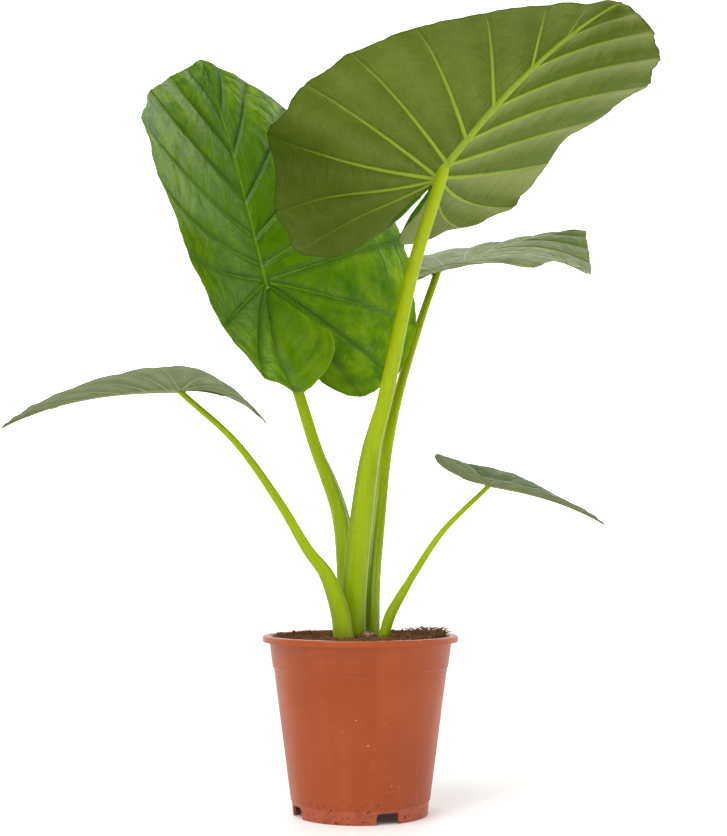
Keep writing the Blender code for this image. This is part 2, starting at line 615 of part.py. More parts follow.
def main():
    clear_scene()
    build_pot()
    holes = [((stalk["route"][0][0] * MM, stalk["route"][0][1] * MM), stalk["radii"][0] * MM, stalk["depth"])
             for stalk in STALKS.values()]
    holes.append((CORM["centre"], CORM["radius"], CORM["depth"]))
    build_soil(holes)
    build_corm(CORM["centre"], CORM["radius"], CORM["depth"], material("corm_husk", CORM_BROWN, 0.8))
    stalk_surface = material("stalk_skin", STALK_GREEN, 0.4)
    colours = {"tall": GREEN_UNDER, "back_left": GREEN_TOP, "back_right": GREEN_GREY,
               "low_left": GREEN_GREY, "low_right": GREEN_GREY}
    for name, leaf in LEAVES.items():
        build_stalk(f"stalk_{name}", STALKS[name], leaf, stalk_surface)
        build_blade(f"blade_{name}", leaf, material(f"blade_skin_{name}", colours[name], 0.4))


main()
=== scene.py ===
"""Giant taro in its nursery pot: fine leaves, stalks, soil and pot over the frame, in a plain studio."""

import math

import bmesh
import bpy
import numpy as np
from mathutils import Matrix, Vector, noise


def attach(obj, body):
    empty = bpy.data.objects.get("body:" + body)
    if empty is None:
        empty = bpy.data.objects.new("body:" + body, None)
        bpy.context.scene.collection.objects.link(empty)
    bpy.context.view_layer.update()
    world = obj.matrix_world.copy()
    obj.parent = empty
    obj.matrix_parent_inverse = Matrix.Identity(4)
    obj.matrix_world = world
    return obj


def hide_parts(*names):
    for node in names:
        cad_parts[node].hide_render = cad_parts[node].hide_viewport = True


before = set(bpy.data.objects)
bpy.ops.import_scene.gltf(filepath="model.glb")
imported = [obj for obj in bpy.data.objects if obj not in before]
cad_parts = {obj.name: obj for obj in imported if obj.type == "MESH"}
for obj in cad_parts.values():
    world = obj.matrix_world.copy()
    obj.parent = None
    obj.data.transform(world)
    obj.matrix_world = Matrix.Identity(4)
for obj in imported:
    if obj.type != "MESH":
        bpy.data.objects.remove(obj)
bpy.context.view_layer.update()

MM = 0.001
SOIL_Z = 180.0 * MM
POT_TOP = 188.8 * MM
WALL_FOOT_R = 72.6 * MM
WALL_SLOPE = 0.1365
NOTCH_Y = -0.05
LOW_Z = 14.4 * MM
STALK_DEPTH = 34 * MM
HALF_BLADE = 0.38 * MM
THREAD_CORNERS = (0, 1.2566, 2.5133, 3.7699, 5.0265)

OUTLINE = (
    (0.0, 1.0), (0.04, 0.95), (0.14, 0.855), (0.27, 0.69), (0.385, 0.47), (0.465, 0.22), (0.49, -0.03),
    (0.455, -0.255), (0.35, -0.44), (0.21, -0.515), (0.095, -0.46), (0.032, -0.30), (0.018, -0.14),
    (0.0, NOTCH_Y))
VEIN_STARTS = (0.70, 0.52, 0.32, 0.17, 0.06, 0.0, -0.006, -0.012, -0.018)
VEIN_ENDS = (0.035, 0.085, 0.16, 0.255, 0.36, 0.45, 0.59, 0.70, 0.77)
VEIN_SIZE = (0.35, 0.6, 0.85, 1.0, 1.0, 1.0, 1.1, 0.8, 0.5)
RAY_TOP, RAY_LAST = 0.93, -0.03
VEIN_BOW = 0.05
BAY_BOUNDS = np.array([0.0, *VEIN_ENDS, 1.0])


def linear(*rgb):
    """Linear colour of an 8-bit screen colour."""
    return tuple((c / 255 / 12.92) if c <= 10 else ((c / 255 + 0.055) / 1.055) ** 2.4 for c in rgb)


def palette(*colours):
    return tuple(linear(*colour) for colour in colours)


# Shader helpers


class Shader:
    """A material's node tree, with short calls for the nodes used here."""

    def __init__(self, name):
        self.material = bpy.data.materials.new(name)
        self.material.use_nodes = True
        self.tree = self.material.node_tree
        self.tree.nodes.clear()
        self.output = self.tree.nodes.new("ShaderNodeOutputMaterial")
        self.shader = self.tree.nodes.new("ShaderNodeBsdfPrincipled")
        self.tree.links.new(self.shader.outputs[0], self.output.inputs[0])

    def put(self, socket, value):
        if isinstance(value, bpy.types.NodeSocket):
            self.tree.links.new(value, socket)
        elif isinstance(value, tuple) and len(value) == 3 and socket.type == "RGBA":
            socket.default_value = (*value, 1.0)
        else:
            socket.default_value = value

    def node(self, kind, inputs=(), **settings):
        made = self.tree.nodes.new(kind)
        for key, value in settings.items():
            setattr(made, key, value)
        for key, value in dict(inputs).items():
            self.put(made.inputs[key], value)
        return made

    def attribute(self, name):
        return self.node("ShaderNodeAttribute", attribute_name=name).outputs["Fac"]

    def coordinates(self, stretch=None):
        place = self.node("ShaderNodeTexCoord").outputs["Object"]
        if stretch is None:
            return place
        return self.node("ShaderNodeMapping", {"Vector": place, "Scale": stretch}).outputs[0]

    def math(self, operation, a, b=0.0, clamp=False):
        made = self.node("ShaderNodeMath", {0: a, 1: b}, operation=operation)
        made.use_clamp = clamp
        return made.outputs[0]

    def times(self, a, b):
        return self.math("MULTIPLY", a, b)

    def plus(self, a, b):
        return self.math("ADD", a, b)

    def noise(self, scale, detail=4.0, rough=0.55, place=None, distortion=0.0):
        place = place if place is not None else self.coordinates()
        return self.node("ShaderNodeTexNoise", {"Vector": place, "Scale": scale, "Detail": detail,
                                                "Roughness": rough, "Distortion": distortion}).outputs["Fac"]

    def band(self, value, low, high, to_low=0.0, to_high=1.0):
        return self.node("ShaderNodeMapRange", {"Value": value, "From Min": low, "From Max": high,
                                                "To Min": to_low, "To Max": to_high}).outputs["Result"]

    def mix(self, factor, a, b, blend="MIX"):
        made = self.node("ShaderNodeMix", data_type="RGBA", blend_type=blend)
        self.put(made.inputs["Factor"], factor)
        self.put(made.inputs[6], a)
        self.put(made.inputs[7], b)
        return made.outputs[2]

    def bump(self, height, strength, distance, normal=None):
        inputs = {"Height": height, "Strength": strength, "Distance": distance}
        if normal is not None:
            inputs["Normal"] = normal
        return self.node("ShaderNodeBump", inputs).outputs[0]

    def finish(self, **values):
        for key, value in values.items():
            self.put(self.shader.inputs[key.replace("_", " ")], value)
        return self.material


# Mesh helpers


def add_object(name, data):
    made = bpy.data.objects.new(name, data)
    bpy.context.scene.collection.objects.link(made)
    return made


def add_mesh(name, points, faces, surface, sharp=50.0, **attributes):
    mesh = bpy.data.meshes.new(name)
    mesh.from_pydata(np.asarray(points).tolist(), [], [list(map(int, face)) for face in faces])
    for key, values in attributes.items():
        layer = mesh.attributes.new(key, "FLOAT", "POINT")
        layer.data.foreach_set("value", np.asarray(values, dtype=np.float32))
    mesh.materials.append(surface)
    mesh.shade_smooth()
    mesh.set_sharp_from_angle(angle=math.radians(sharp))
    return add_object(name, mesh)


def tube_faces(rows, sides):
    """Faces of a closed tube of rings, with a cap at each end."""
    grid = np.arange(rows * sides).reshape(rows, sides)
    shifted = np.roll(grid, -1, axis=1)
    faces = np.stack([grid[:-1], shifted[:-1], shifted[1:], grid[1:]], -1).reshape(-1, 4).tolist()
    return faces + [grid[0, ::-1].tolist(), grid[-1].tolist()]


def evaluated_mesh(made):
    graph = bpy.context.evaluated_depsgraph_get()
    return bpy.data.meshes.new_from_object(made.evaluated_get(graph))


def recalculate_normals(mesh, bevel=0.0):
    """Turn all faces outward, and round the edges above the floor if a bevel is given."""
    shape = bmesh.new()
    shape.from_mesh(mesh)
    bmesh.ops.recalc_face_normals(shape, faces=shape.faces)
    if bevel:
        edges = [edge for edge in shape.edges if all(vertex.co.z > 0 for vertex in edge.verts)]
        bmesh.ops.bevel(shape, geom=edges, offset=bevel, segments=3, affect="EDGES")
    shape.to_mesh(mesh)
    shape.free()


def declare(piece, node):
    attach(piece, "root")
    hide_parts(node)
    return piece


def unit(vector):
    vector = np.asarray(vector, float)
    return vector / np.linalg.norm(vector)


def spline(points, steps):
    """Centripetal curve through the points."""
    given = np.asarray(points, float)
    ends = np.vstack([2 * given[0] - given[1], given, 2 * given[-1] - given[-2]])
    out = []
    for k in range(1, len(ends) - 2):
        p0, p1, p2, p3 = ends[k - 1:k + 3]
        pairs = ((p0, p1), (p1, p2), (p2, p3))
        t1, t2, t3 = np.cumsum([max(np.linalg.norm(b - a), 1e-9) ** 0.5 for a, b in pairs])
        t = np.linspace(t1, t2, steps, endpoint=False)[:, None]
        a1 = (t1 - t) / t1 * p0 + t / t1 * p1
        a2 = (t2 - t) / (t2 - t1) * p1 + (t - t1) / (t2 - t1) * p2
        a3 = (t3 - t) / (t3 - t2) * p2 + (t - t2) / (t3 - t2) * p3
        b1 = (t2 - t) / t2 * a1 + t / t2 * a2
        b2 = (t3 - t) / (t3 - t1) * a2 + (t - t1) / (t3 - t1) * a3
        out.append((t2 - t) / (t2 - t1) * b1 + (t - t1) / (t2 - t1) * b2)
    return np.vstack(out + [given[-1:]])


def lengths_along(points):
    return np.concatenate([[0.0], np.cumsum(np.linalg.norm(np.diff(points, axis=0), axis=1))])


def ripple(values, seed, octaves=3):
    """Smooth random values between about -1 and 1 along a line."""
    rng = np.random.default_rng(seed)
    values = np.asarray(values, float)
    total = np.zeros_like(values)
    for octave in range(octaves):
        phase, turn = rng.uniform(0, math.tau, 2)
        rate = 2.0 ** octave
        total += np.sin(values * rate + phase) * np.cos(values * rate * 0.61 + turn) / 1.6 ** octave
    return total


# Blades


def smooth_step(value):
    value = np.clip(value, 0.0, 1.0)
    return value * value * (3 - 2 * value)


def leaf_axes(leaf):
    azimuth, pitch, roll = (math.radians(leaf[key]) for key in ("azimuth", "pitch", "roll"))
    level_share = math.cos(pitch)
    forward = np.array([math.cos(azimuth) * level_share, math.sin(azimuth) * level_share, math.sin(pitch)])
    level = np.array([math.sin(azimuth), -math.cos(azimuth), 0.0])
    side = level * math.cos(roll) + np.cross(level, forward) * math.sin(roll)
    return forward, side, np.cross(side, forward)


def bend_blade(leaf, x, y, half):
    """Carry flat blade points, as shares of the length, into space."""
    key = "right" if half > 0 else "left"
    u = np.linspace(-0.7, 1.1, 361)
    middle = np.argmin(np.abs(u))
    droop = leaf["droop"] * np.clip(u, 0.0, None) ** leaf["droop_power"]
    lobe_droop = leaf["lobe_droop_" + key] * np.clip(NOTCH_Y - u, 0.0, None) / 0.45
    slope = np.radians(droop - lobe_droop)
    step = u[1] - u[0]
    along = np.concatenate([[0], np.cumsum(np.cos(slope[1:]) + np.cos(slope[:-1]))]) * step / 2
    lift = -np.concatenate([[0], np.cumsum(np.sin(slope[1:]) + np.sin(slope[:-1]))]) * step / 2
    spine_along = np.interp(y, u, along - along[middle])
    spine_lift = np.interp(y, u, lift - lift[middle])
    tilt = np.interp(y, u, slope)
    base, tip, lobe = leaf["fold_" + key]
    fold = np.radians(base + (tip - base) * smooth_step(y) + (lobe - base) * smooth_step(-y / 0.5))
    curl = np.radians(leaf["curl_" + key]) / 0.5
    out = x * half
    across = (np.sin(fold + curl * out) - np.sin(fold)) / curl * half
    rise = -(np.cos(fold + curl * out) - np.cos(fold)) / curl
    rise = np.where(out < 0, leaf["lap_lift"] * np.clip(-out, 0.0, None), rise)
    across = np.where(out < 0, x, across)
    twist = np.radians(leaf["twist"] * np.clip(y, 0, None) + leaf["lobe_twist"] * np.clip(-y, 0, None) / 0.5)
    sweep = leaf["sweep"] * np.clip(y, 0, None) ** 2 + leaf["lobe_sweep"] * np.clip(-y, 0, None) ** 2 / 0.25
    local_x = across * np.cos(twist) - rise * np.sin(twist) + sweep
    local_z = across * np.sin(twist) + rise * np.cos(twist)
    local_y = spine_along + local_z * np.sin(tilt)
    local_up = spine_lift + local_z * np.cos(tilt)
    forward, side, upper = leaf_axes(leaf)
    offset = local_y[..., None] * forward + local_x[..., None] * side + local_up[..., None] * upper
    return leaf["joint"] + leaf["length"] * offset


def margin_marks(per_bay):
    """Shares of the margin for the rays, closer together beside each rib."""
    out = []
    for k in range(len(BAY_BOUNDS) - 1):
        count = max(8, int(per_bay * (1.0 if k else 0.5)))
        f = np.arange(count) / count
        f = f - 0.115 * np.sin(math.tau * f)
        out.append(BAY_BOUNDS[k] + (BAY_BOUNDS[k + 1] - BAY_BOUNDS[k]) * f)
    return np.concatenate(out + [[1.0]])


def flat_half(leaf, half, marks, tiers):
    """Flat points of one half (rays by tiers), and the place of each ray between ribs."""
    outline = leaf["outline_right"] if half > 0 else leaf["outline_left"]
    margin = spline(outline, 24) * (leaf["width"], 1.0)
    share = lengths_along(margin) / lengths_along(margin)[-1]
    end = np.stack([np.interp(marks, share, margin[:, 0]), np.interp(marks, share, margin[:, 1])], -1)
    heights = np.interp(marks, BAY_BOUNDS, [RAY_TOP, *VEIN_STARTS, RAY_LAST])
    start = np.stack([np.zeros_like(marks), heights], -1)
    bay = np.interp(marks, BAY_BOUNDS, np.arange(len(BAY_BOUNDS)))
    waved = (marks > 0.02) & (marks < 0.8)
    inward = 1.0 + leaf["scallop"] * np.cos(math.tau * bay) * waved
    nibble = 1.0 + 0.004 * ripple(marks * 160, leaf["seed"] + 3 * half) * (marks > 0.02) * (marks < 0.98)
    reach = np.linalg.norm(end - start, axis=1)
    t = tiers[None, :] * np.ones((len(marks), 1))
    outer = smooth_step((t - 0.8) / 0.2)
    pull = 1 + (inward * nibble - 1)[:, None] * outer
    flat = start[:, None] + (end - start)[:, None] * (t * pull)[..., None]
    flat[..., 1] -= VEIN_BOW * reach[:, None] * 4 * t * (1 - t) * (0.5 - marks)[:, None]
    flat[..., 0] *= half
    return flat, t, bay[:, None] * np.ones_like(t), reach[:, None] * np.ones_like(t)


def rib_distance(leaf, half, flat):
    """Distance from each flat point to its nearest side rib, that rib's size and the place along it."""
    best = np.full(flat.shape[:2], 9.0)
    size = np.zeros(flat.shape[:2])
    along = np.zeros(flat.shape[:2])
    tiers = np.linspace(0.0, 1.0, 15)
    ribs, _, _, _ = flat_half(leaf, half, np.array(VEIN_ENDS), tiers)
    for index, line in enumerate(ribs):
        for k in range(len(line) - 1):
            a, b = line[k], line[k + 1]
            ab = b - a
            f = np.clip(((flat - a) @ ab) / max(ab @ ab, 1e-12), 0, 1)
            distance = np.linalg.norm(flat - a - f[..., None] * ab, axis=-1)
            closer = distance < best
            best = np.where(closer, distance, best)
            size = np.where(closer, VEIN_SIZE[index], size)
            along = np.where(closer, (k + f) / (len(line) - 1), along)
    return best * leaf["length"], size, along


def rounded(distance, width):
    return np.clip(1 - (distance / width) ** 2, 0, 1) ** 0.75


def build_blade(name, leaf, surface):
    """Upper and lower skins of a blade: puffed bays, sunk ribs above, raised ribs below, a waved margin."""
    per_bay, tier_count = leaf["grid"]
    marks = margin_marks(per_bay)
    tiers = (np.arange(tier_count) / (tier_count - 1)) ** 1.25
    rows, columns = len(marks), len(tiers)
    data, ids, faces = [], {}, []
    for half in (1, -1):
        flat, t, bay, reach = flat_half(leaf, half, marks, tiers)
        place = bend_blade(leaf, flat[..., 0], flat[..., 1], half)
        distance, size, along = rib_distance(leaf, half, flat)
        fraction = bay - np.floor(bay)
        whole = bay > 9.0
        fraction = np.where(whole, np.clip(fraction, 0, 1), fraction)
        outer = smooth_step((t - 0.55) / 0.45)
        hump = np.sin(math.pi * fraction)
        puff = ((1 - outer) * hump ** 0.8 + outer * hump ** 2) * t ** 0.8
        puff = np.where(whole, 0.6 * puff, puff)
        lumps = ripple(t * 34 + np.floor(bay) * 5, leaf["seed"] + half) * hump
        wave = ripple(marks * 52, leaf["seed"] + 40 + half)[:, None] * outer
        deep = leaf["deep_right"] if half > 0 else leaf["deep_left"]
        depth = leaf["puff"] * (deep + (0.6 - deep) * smooth_step((t - 0.62) / 0.38))
        lift = depth * (puff + leaf["lumps"] * lumps * (bay < 8.2) * t ** 0.5) + leaf["wave"] * wave
        lift *= 1 - (marks[:, None] < 1e-9)
        spread = leaf["length"] / 0.3
        width = (2.2 - 1.7 * along) * MM * size ** 0.6 * spread
        ribs = rounded(distance, np.maximum(width, 0.4 * MM)) * size * smooth_step(t / 0.04)
        middle = np.abs(flat[..., 0]) * leaf["length"]
        y = flat[..., 1]
        keel_width = (1.0 + 3.9 * np.clip(1 - y, 0, 1) ** 1.1) * MM * spread
        keel = rounded(middle, keel_width) * (y > RAY_LAST)
        edge = (1 - t) * reach * leaf["length"]
        index = np.arange(rows * columns).reshape(rows, columns) + len(data) * rows * columns
        if half < 0:
            index[:, 0], index[0, :], index[-1, :] = ids[1][:, 0], ids[1][0, :], ids[1][-1, :]
        ids[half] = index
        data.append((place.reshape(-1, 3), np.stack([
            lift, ribs, keel, along, fraction, t, edge, y, np.clip(distance / (14 * MM), 0, 1),
            bay + 20 * (half < 0)], -1).reshape(-1, 10)))
        quads = np.stack([index[:-1, :-1], index[:-1, 1:], index[1:, 1:], index[1:, :-1]], -1).reshape(-1, 4)
        faces.append(quads[:, ::-1] if half > 0 else quads)
    points = np.vstack([part[0] for part in data])
    values = np.vstack([part[1] for part in data])
    faces = np.vstack(faces)
    used, compact = np.unique(faces, return_inverse=True)
    faces = compact.reshape(faces.shape)
    points, values = points[used], values[used]
    lookup = np.full(used.max() + 1, -1)
    lookup[used] = np.arange(len(used))
    normals = quad_normals(points, faces)
    points = points + normals * values[:, :1]
    normals = quad_normals(points, faces)
    ribs, keel, along, y = values[:, 1], values[:, 2], values[:, 3], values[:, 7]
    taper = np.clip(1 - along, 0, 1) ** 0.8
    raised = np.maximum(leaf["rib_height"] * ribs * (0.25 + 0.75 * taper),
                        leaf["keel_height"] * keel * np.clip(1 - np.clip(y, 0, 1), 0.06, 1) ** 0.7)
    sunk = leaf["sink"] * np.maximum(ribs * (0.3 + 0.7 * taper), keel * 0.9)
    top = points + normals * (HALF_BLADE - sunk)[:, None]
    bottom = points - normals * (HALF_BLADE + raised)[:, None]
    count = len(points)
    loop = np.concatenate([lookup[ids[1][:, -1]], lookup[ids[-1][::-1, -1]][1:-1]])
    nxt = np.roll(loop, -1)
    rim = np.stack([loop, nxt, nxt + count, loop + count], -1)
    solid = np.vstack([faces, faces[:, ::-1] + count, rim])
    names = ("rib", "keel", "along", "bay", "tier", "edge", "length", "near", "cell")
    both = {key: np.tile(values[:, column + 1], 2) for column, key in enumerate(names)}
    both["under"] = np.concatenate([np.zeros(count), np.ones(count)])
    both["edge"] = both["edge"] / MM
    return add_mesh(name, np.vstack([top, bottom]), solid, surface, 70.0, **both)


def quad_normals(points, faces):
    a, b, c, d = (points[faces[:, k]] for k in range(4))
    area = np.cross(c - a, d - b)
    normals = np.zeros_like(points)
    for corner in range(4):
        np.add.at(normals, faces[:, corner], area)
    return normals / np.maximum(np.linalg.norm(normals, axis=1), 1e-12)[:, None]


def bay_place(s, tier, across, outward):
    """Noise coordinates that follow the bays between ribs."""
    inputs = {0: s.times(s.attribute("cell"), across), 1: s.times(tier, outward)}
    return s.node("ShaderNodeCombineXYZ", inputs).outputs[0]


def leaf_surface(name, upper, under, rib_upper, rib_under, gloss, gleam, pale=(0.25, 0.28, 0.18),
                 bay_highlight_share=0.3, lit_half_share=0.0, dry_tip=1.0, painted_light_share=0.0):
    """Leaf skin: greens that drift over each face, painted backlit glow and painted groove shade on the upper
    face, painted highlights in the bays and a painted lit half below, paler ribs, herringbone veins and a
    thin dark margin.
    """
    s = Shader(name)
    below = s.attribute("under")
    rib, keel = s.attribute("rib"), s.attribute("keel")
    bay, tier, edge = s.attribute("bay"), s.attribute("tier"), s.attribute("edge")
    drift = s.band(s.noise(9.0, 3.0), 0.35, 0.65)
    mottle = s.band(s.noise(55.0, 4.0), 0.35, 0.7)
    spread = s.times(s.math("ABSOLUTE", s.math("SUBTRACT", bay, 0.5)), 2.0)
    top = s.mix(drift, upper[0], upper[1])
    top = s.mix(s.times(mottle, 0.45), top, upper[2])
    # Painted light: bright yellow-green patches out along the bays stand in for light shining through the
    # blade.
    backlit_glow = s.band(s.noise(1.6, 3.0, 0.6, bay_place(s, tier, 1.6, 4.5)), 0.36, 0.72)
    backlit_glow = s.times(backlit_glow, s.band(tier, 0.3, 0.85, 0.3, 1.0))
    top = s.mix(s.times(backlit_glow, painted_light_share), top, linear(140, 172, 0))
    # Painted shade: darker grey-green beside the ribs, where the sunk grooves lie in shade.
    groove_shade = s.times(s.band(s.attribute("near"), 0.6, 0.1), s.band(s.noise(22.0, 3.0), 0.2, 0.7, 0.5))
    top = s.mix(s.times(groove_shade, painted_light_share), top, linear(52, 84, 22))
    low = s.mix(drift, under[0], under[1])
    low = s.mix(s.times(mottle, 0.4), low, under[2])
    # Painted highlight: paler colour in the middle of each bay on the underside, where light catches the
    # puffed bays.
    low = s.mix(s.times(s.band(spread, 0.55, 0.0), bay_highlight_share), low, pale)
    skin = s.mix(below, top, low)
    # Painted light and shade: one half of the underside is made paler where it faces the light, fading from
    # light to dark across each bay like lit pleats.
    left = s.times(s.band(s.attribute("cell"), 19.0, 21.0), s.times(below, lit_half_share))
    skin = s.mix(left, skin, s.mix(s.band(bay, 0.15, 0.75), pale, under[0]))
    slant = s.plus(s.times(tier, 15.0), s.times(spread, -1.5))
    slant = s.plus(slant, s.times(s.noise(14.0, 2.0), 2.2))
    thread = s.math("ABSOLUTE", s.math("SUBTRACT", s.math("FRACT", slant), 0.5))
    thread = s.band(thread, 0.10, 0.0)
    threads = s.times(thread, s.band(spread, 0.0, 0.35, 0.35, 1.0))
    cells = s.node("ShaderNodeTexVoronoi", {"Vector": s.coordinates(), "Scale": 260.0},
                   feature="DISTANCE_TO_EDGE").outputs["Distance"]
    cells = s.band(cells, 0.0, 0.14)
    rib_tint = s.mix(below, rib_upper, rib_under)
    skin = s.mix(s.times(threads, 0.03), skin, rib_tint)
    skin = s.mix(s.times(s.math("SUBTRACT", 1.0, cells), 0.10), skin, rib_tint)
    low_ribs = s.math("MAXIMUM", s.band(rib, 0.05, 0.55), s.band(keel, 0.02, 0.35), clamp=True)
    top_ribs = s.math("MAXIMUM", s.band(rib, 0.62, 0.95), s.band(keel, 0.8, 0.98), clamp=True)
    ribs = s.plus(s.times(low_ribs, below),
                  s.times(s.times(top_ribs, 0.8), s.math("SUBTRACT", 1.0, below)))
    fade = s.math("MAXIMUM", s.band(s.attribute("along"), 0.1, 1.0, 0.95, 0.35), s.band(keel, 0.0, 0.2))
    skin = s.mix(s.times(ribs, fade), skin, rib_tint)
    rim = s.band(edge, 2.2, 0.3)
    skin = s.mix(s.times(rim, 0.65), skin, s.mix(below, rib_upper, tuple(0.5 * c for c in under[0])))
    tip = s.times(s.band(s.attribute("length"), 0.955, 1.0), s.band(s.noise(60.0, 3.0), 0.3, 0.6))
    skin = s.mix(s.times(tip, dry_tip), skin, linear(128, 98, 50))
    height = s.plus(s.times(cells, 0.25), s.times(threads, -0.12))
    height = s.times(height, s.band(below, 0.0, 1.0, 1.0, -1.0))
    folds = s.noise(1.0, 3.0, 0.5, bay_place(s, tier, 2.0, 15.0), 0.6)
    pucker = s.times(folds, s.band(s.attribute("near"), 0.0, 0.3))
    last_bay = s.band(s.math("MODULO", s.attribute("cell"), 20.0), 8.3, 9.0, 1.0, 0.15)
    pucker = s.plus(s.times(pucker, last_bay), s.times(s.noise(60.0, 3.0), 0.25))
    normal = s.bump(pucker, 0.55, 0.006)
    normal = s.bump(height, 0.5, 0.0006, normal)
    normal = s.bump(s.noise(420.0, 3.0), 0.12, 0.0004, normal)
    rough = s.plus(s.band(below, 0.0, 1.0, gloss, gloss + 0.14), s.times(mottle, 0.10))
    return s.finish(Base_Color=skin, Roughness=rough, Normal=normal, Specular_IOR_Level=gleam)


# Stalks


def build_stalk(name, stalk, leaf, surface):
    """A round tapering stalk with a clasping sheath of two thin wings, and fine lengthwise ribs."""
    sides = 72
    route = np.array(stalk["route"], float) * MM
    foot = np.array([route[0][0], route[0][1], SOIL_Z - STALK_DEPTH])
    path = spline(route, 22)
    lengths = lengths_along(path)
    radii = np.interp(lengths, lengths[::22], stalk["radii"]) * MM
    wings = np.interp(lengths, lengths[::22], stalk["sheath"]) * MM
    soften = np.ones(15) / 15
    radii = np.convolve(np.pad(radii, 7, "edge"), soften, "valid")
    wings = np.convolve(np.pad(wings, 7, "edge"), soften, "valid")
    centres = np.vstack([foot, path])
    radii, wings = np.concatenate([radii[:1], radii]), np.concatenate([[0.0], wings])
    tangents = np.gradient(centres, axis=0)
    tangents[0] = tangents[1] = (0, 0, 1)
    upper = leaf_axes(leaf)[2]
    seat = leaf["joint"] - upper * (0.6 * MM)
    angles = math.tau * np.arange(sides) / sides
    cosines, sines = np.cos(angles)[:, None], np.sin(angles)[:, None]
    wing_angle, wing_width = 0.75, 0.26
    fins = sum(np.exp(-(((angles - fin + math.pi) % math.tau - math.pi) / wing_width) ** 2)
               for fin in (wing_angle, -wing_angle))
    points, share = [], []
    count = len(centres)
    for row, centre in enumerate(centres):
        along = unit(tangents[row])
        toward = np.array(stalk["faces"], float)
        toward = unit(toward - along * toward.dot(along))
        across = np.cross(along, toward)
        flutes = 0.10 * MM * np.sin(angles * 24 + 0.5 * math.sin(row * 0.05))
        swell = 1 + 0.012 * math.sin(row * 0.21 + stalk["phase"])
        radius = radii[row] * swell + wings[row] * 1.12 * fins + flutes
        ring = centre + radius[:, None] * (cosines * toward + sines * across)
        near_end = max(0.0, 1 - (count - 1 - row) / 8)
        if near_end > 0:
            slide = ((ring - seat) @ upper) / along.dot(upper)
            slide += lengths[-1] - lengths[max(row - 1, 0)]
            ring = ring - near_end * along * slide[:, None]
        points.append(ring)
        wing = fins * np.clip(wings[row] / (3 * MM), 0, 1)
        share.append(np.stack([np.full(sides, row / (count - 1)), wing], -1))
    points = np.vstack(points)
    share = np.vstack(share)
    faces = tube_faces(count, sides)
    return add_mesh(name, points, faces, surface, 60.0, along=share[:, 0], wing=share[:, 1])


def stalk_surface(name, low, high, wing):
    """Waxy lime skin: yellower at the top, grey-green on the sheath's wings, with streaks and specks."""
    s = Shader(name)
    along, fin = s.attribute("along"), s.attribute("wing")
    streak = s.band(s.noise(1.0, 5.0, 0.6, s.coordinates((260.0, 260.0, 9.0))), 0.3, 0.7)
    skin = s.mix(s.band(along, 0.05, 0.75), low, high)
    skin = s.mix(s.times(streak, 0.35), skin, tuple(0.7 * c for c in low))
    skin = s.mix(s.band(fin, 0.15, 0.7), skin, wing)
    specks = s.band(s.noise(320.0, 2.0), 0.62, 0.72)
    skin = s.mix(s.times(specks, 0.16), skin, linear(215, 215, 120))
    foot = s.times(s.band(along, 0.12, 0.05), s.band(s.noise(38.0, 4.0), 0.35, 0.62))
    skin = s.mix(s.times(foot, 0.4), skin, linear(130, 104, 46))
    normal = s.bump(s.plus(streak, s.noise(700.0, 2.0)), 0.18, 0.0004)
    return s.finish(Base_Color=skin, Roughness=s.band(streak, 0.0, 1.0, 0.3, 0.46), Normal=normal,
                    Specular_IOR_Level=0.18)


# Pot, soil and corm


def turned(name, profile, sides, surface):
    """A profile of radii and heights, turned around the pot's axis."""
    points, rings = [], []
    for radius, height in profile:
        if radius < 1e-9:
            rings.append([len(points)])
            points.append((0.0, 0.0, height))
            continue
        rings.append(list(range(len(points), len(points) + sides)))
        angles = math.tau * np.arange(sides) / sides
        points += [(radius * math.cos(a), radius * math.sin(a), height) for a in angles]
    faces = []
    pairs = list(zip(rings[:-1], rings[1:]))
    if len(rings[0]) > 1:
        pairs.append((rings[-1], rings[0]))
    for low, high in pairs:
        for k in range(sides):
            nxt = (k + 1) % sides
            if len(low) == 1:
                faces.append((low[0], high[nxt], high[k]))
            elif len(high) == 1:
                faces.append((low[k], low[nxt], high[0]))
            else:
                faces.append((low[k], low[nxt], high[nxt], high[k]))
    return add_mesh(name, points, faces, surface, 35.0)


def wall_radius(height):
    return WALL_FOOT_R + WALL_SLOPE * height + (1.0 * MM if height > 155 * MM else 0.0)


def inner_radius(height):
    return WALL_FOOT_R + WALL_SLOPE * height - 1.5 * MM


def rounded_profile(corners):
    """A profile with each corner that states a radius turned into a short arc."""
    out = []
    count = len(corners)
    for k, corner in enumerate(corners):
        here = np.array(corner[:2])
        radius = corner[2] if len(corner) > 2 else 0.0
        if radius <= 0 or k in (0, count - 1):
            out.append(tuple(here))
            continue
        before, after = np.array(corners[k - 1][:2]), np.array(corners[k + 1][:2])
        cut = min(radius, 0.45 * np.linalg.norm(before - here), 0.45 * np.linalg.norm(after - here))
        first, last = here + unit(before - here) * cut, here + unit(after - here) * cut
        for t in np.linspace(0, 1, 5):
            out.append(tuple((1 - t) ** 2 * first + 2 * t * (1 - t) * here + t * t * last))
    return out


def subtract(target, cutter):
    modifier = target.modifiers.new("cut", "BOOLEAN")
    modifier.operation = "DIFFERENCE"
    modifier.solver = "EXACT"
    modifier.object = cutter
    result = evaluated_mesh(target)
    target.modifiers.clear()
    target.data = result
    bpy.data.objects.remove(cutter, do_unlink=True)


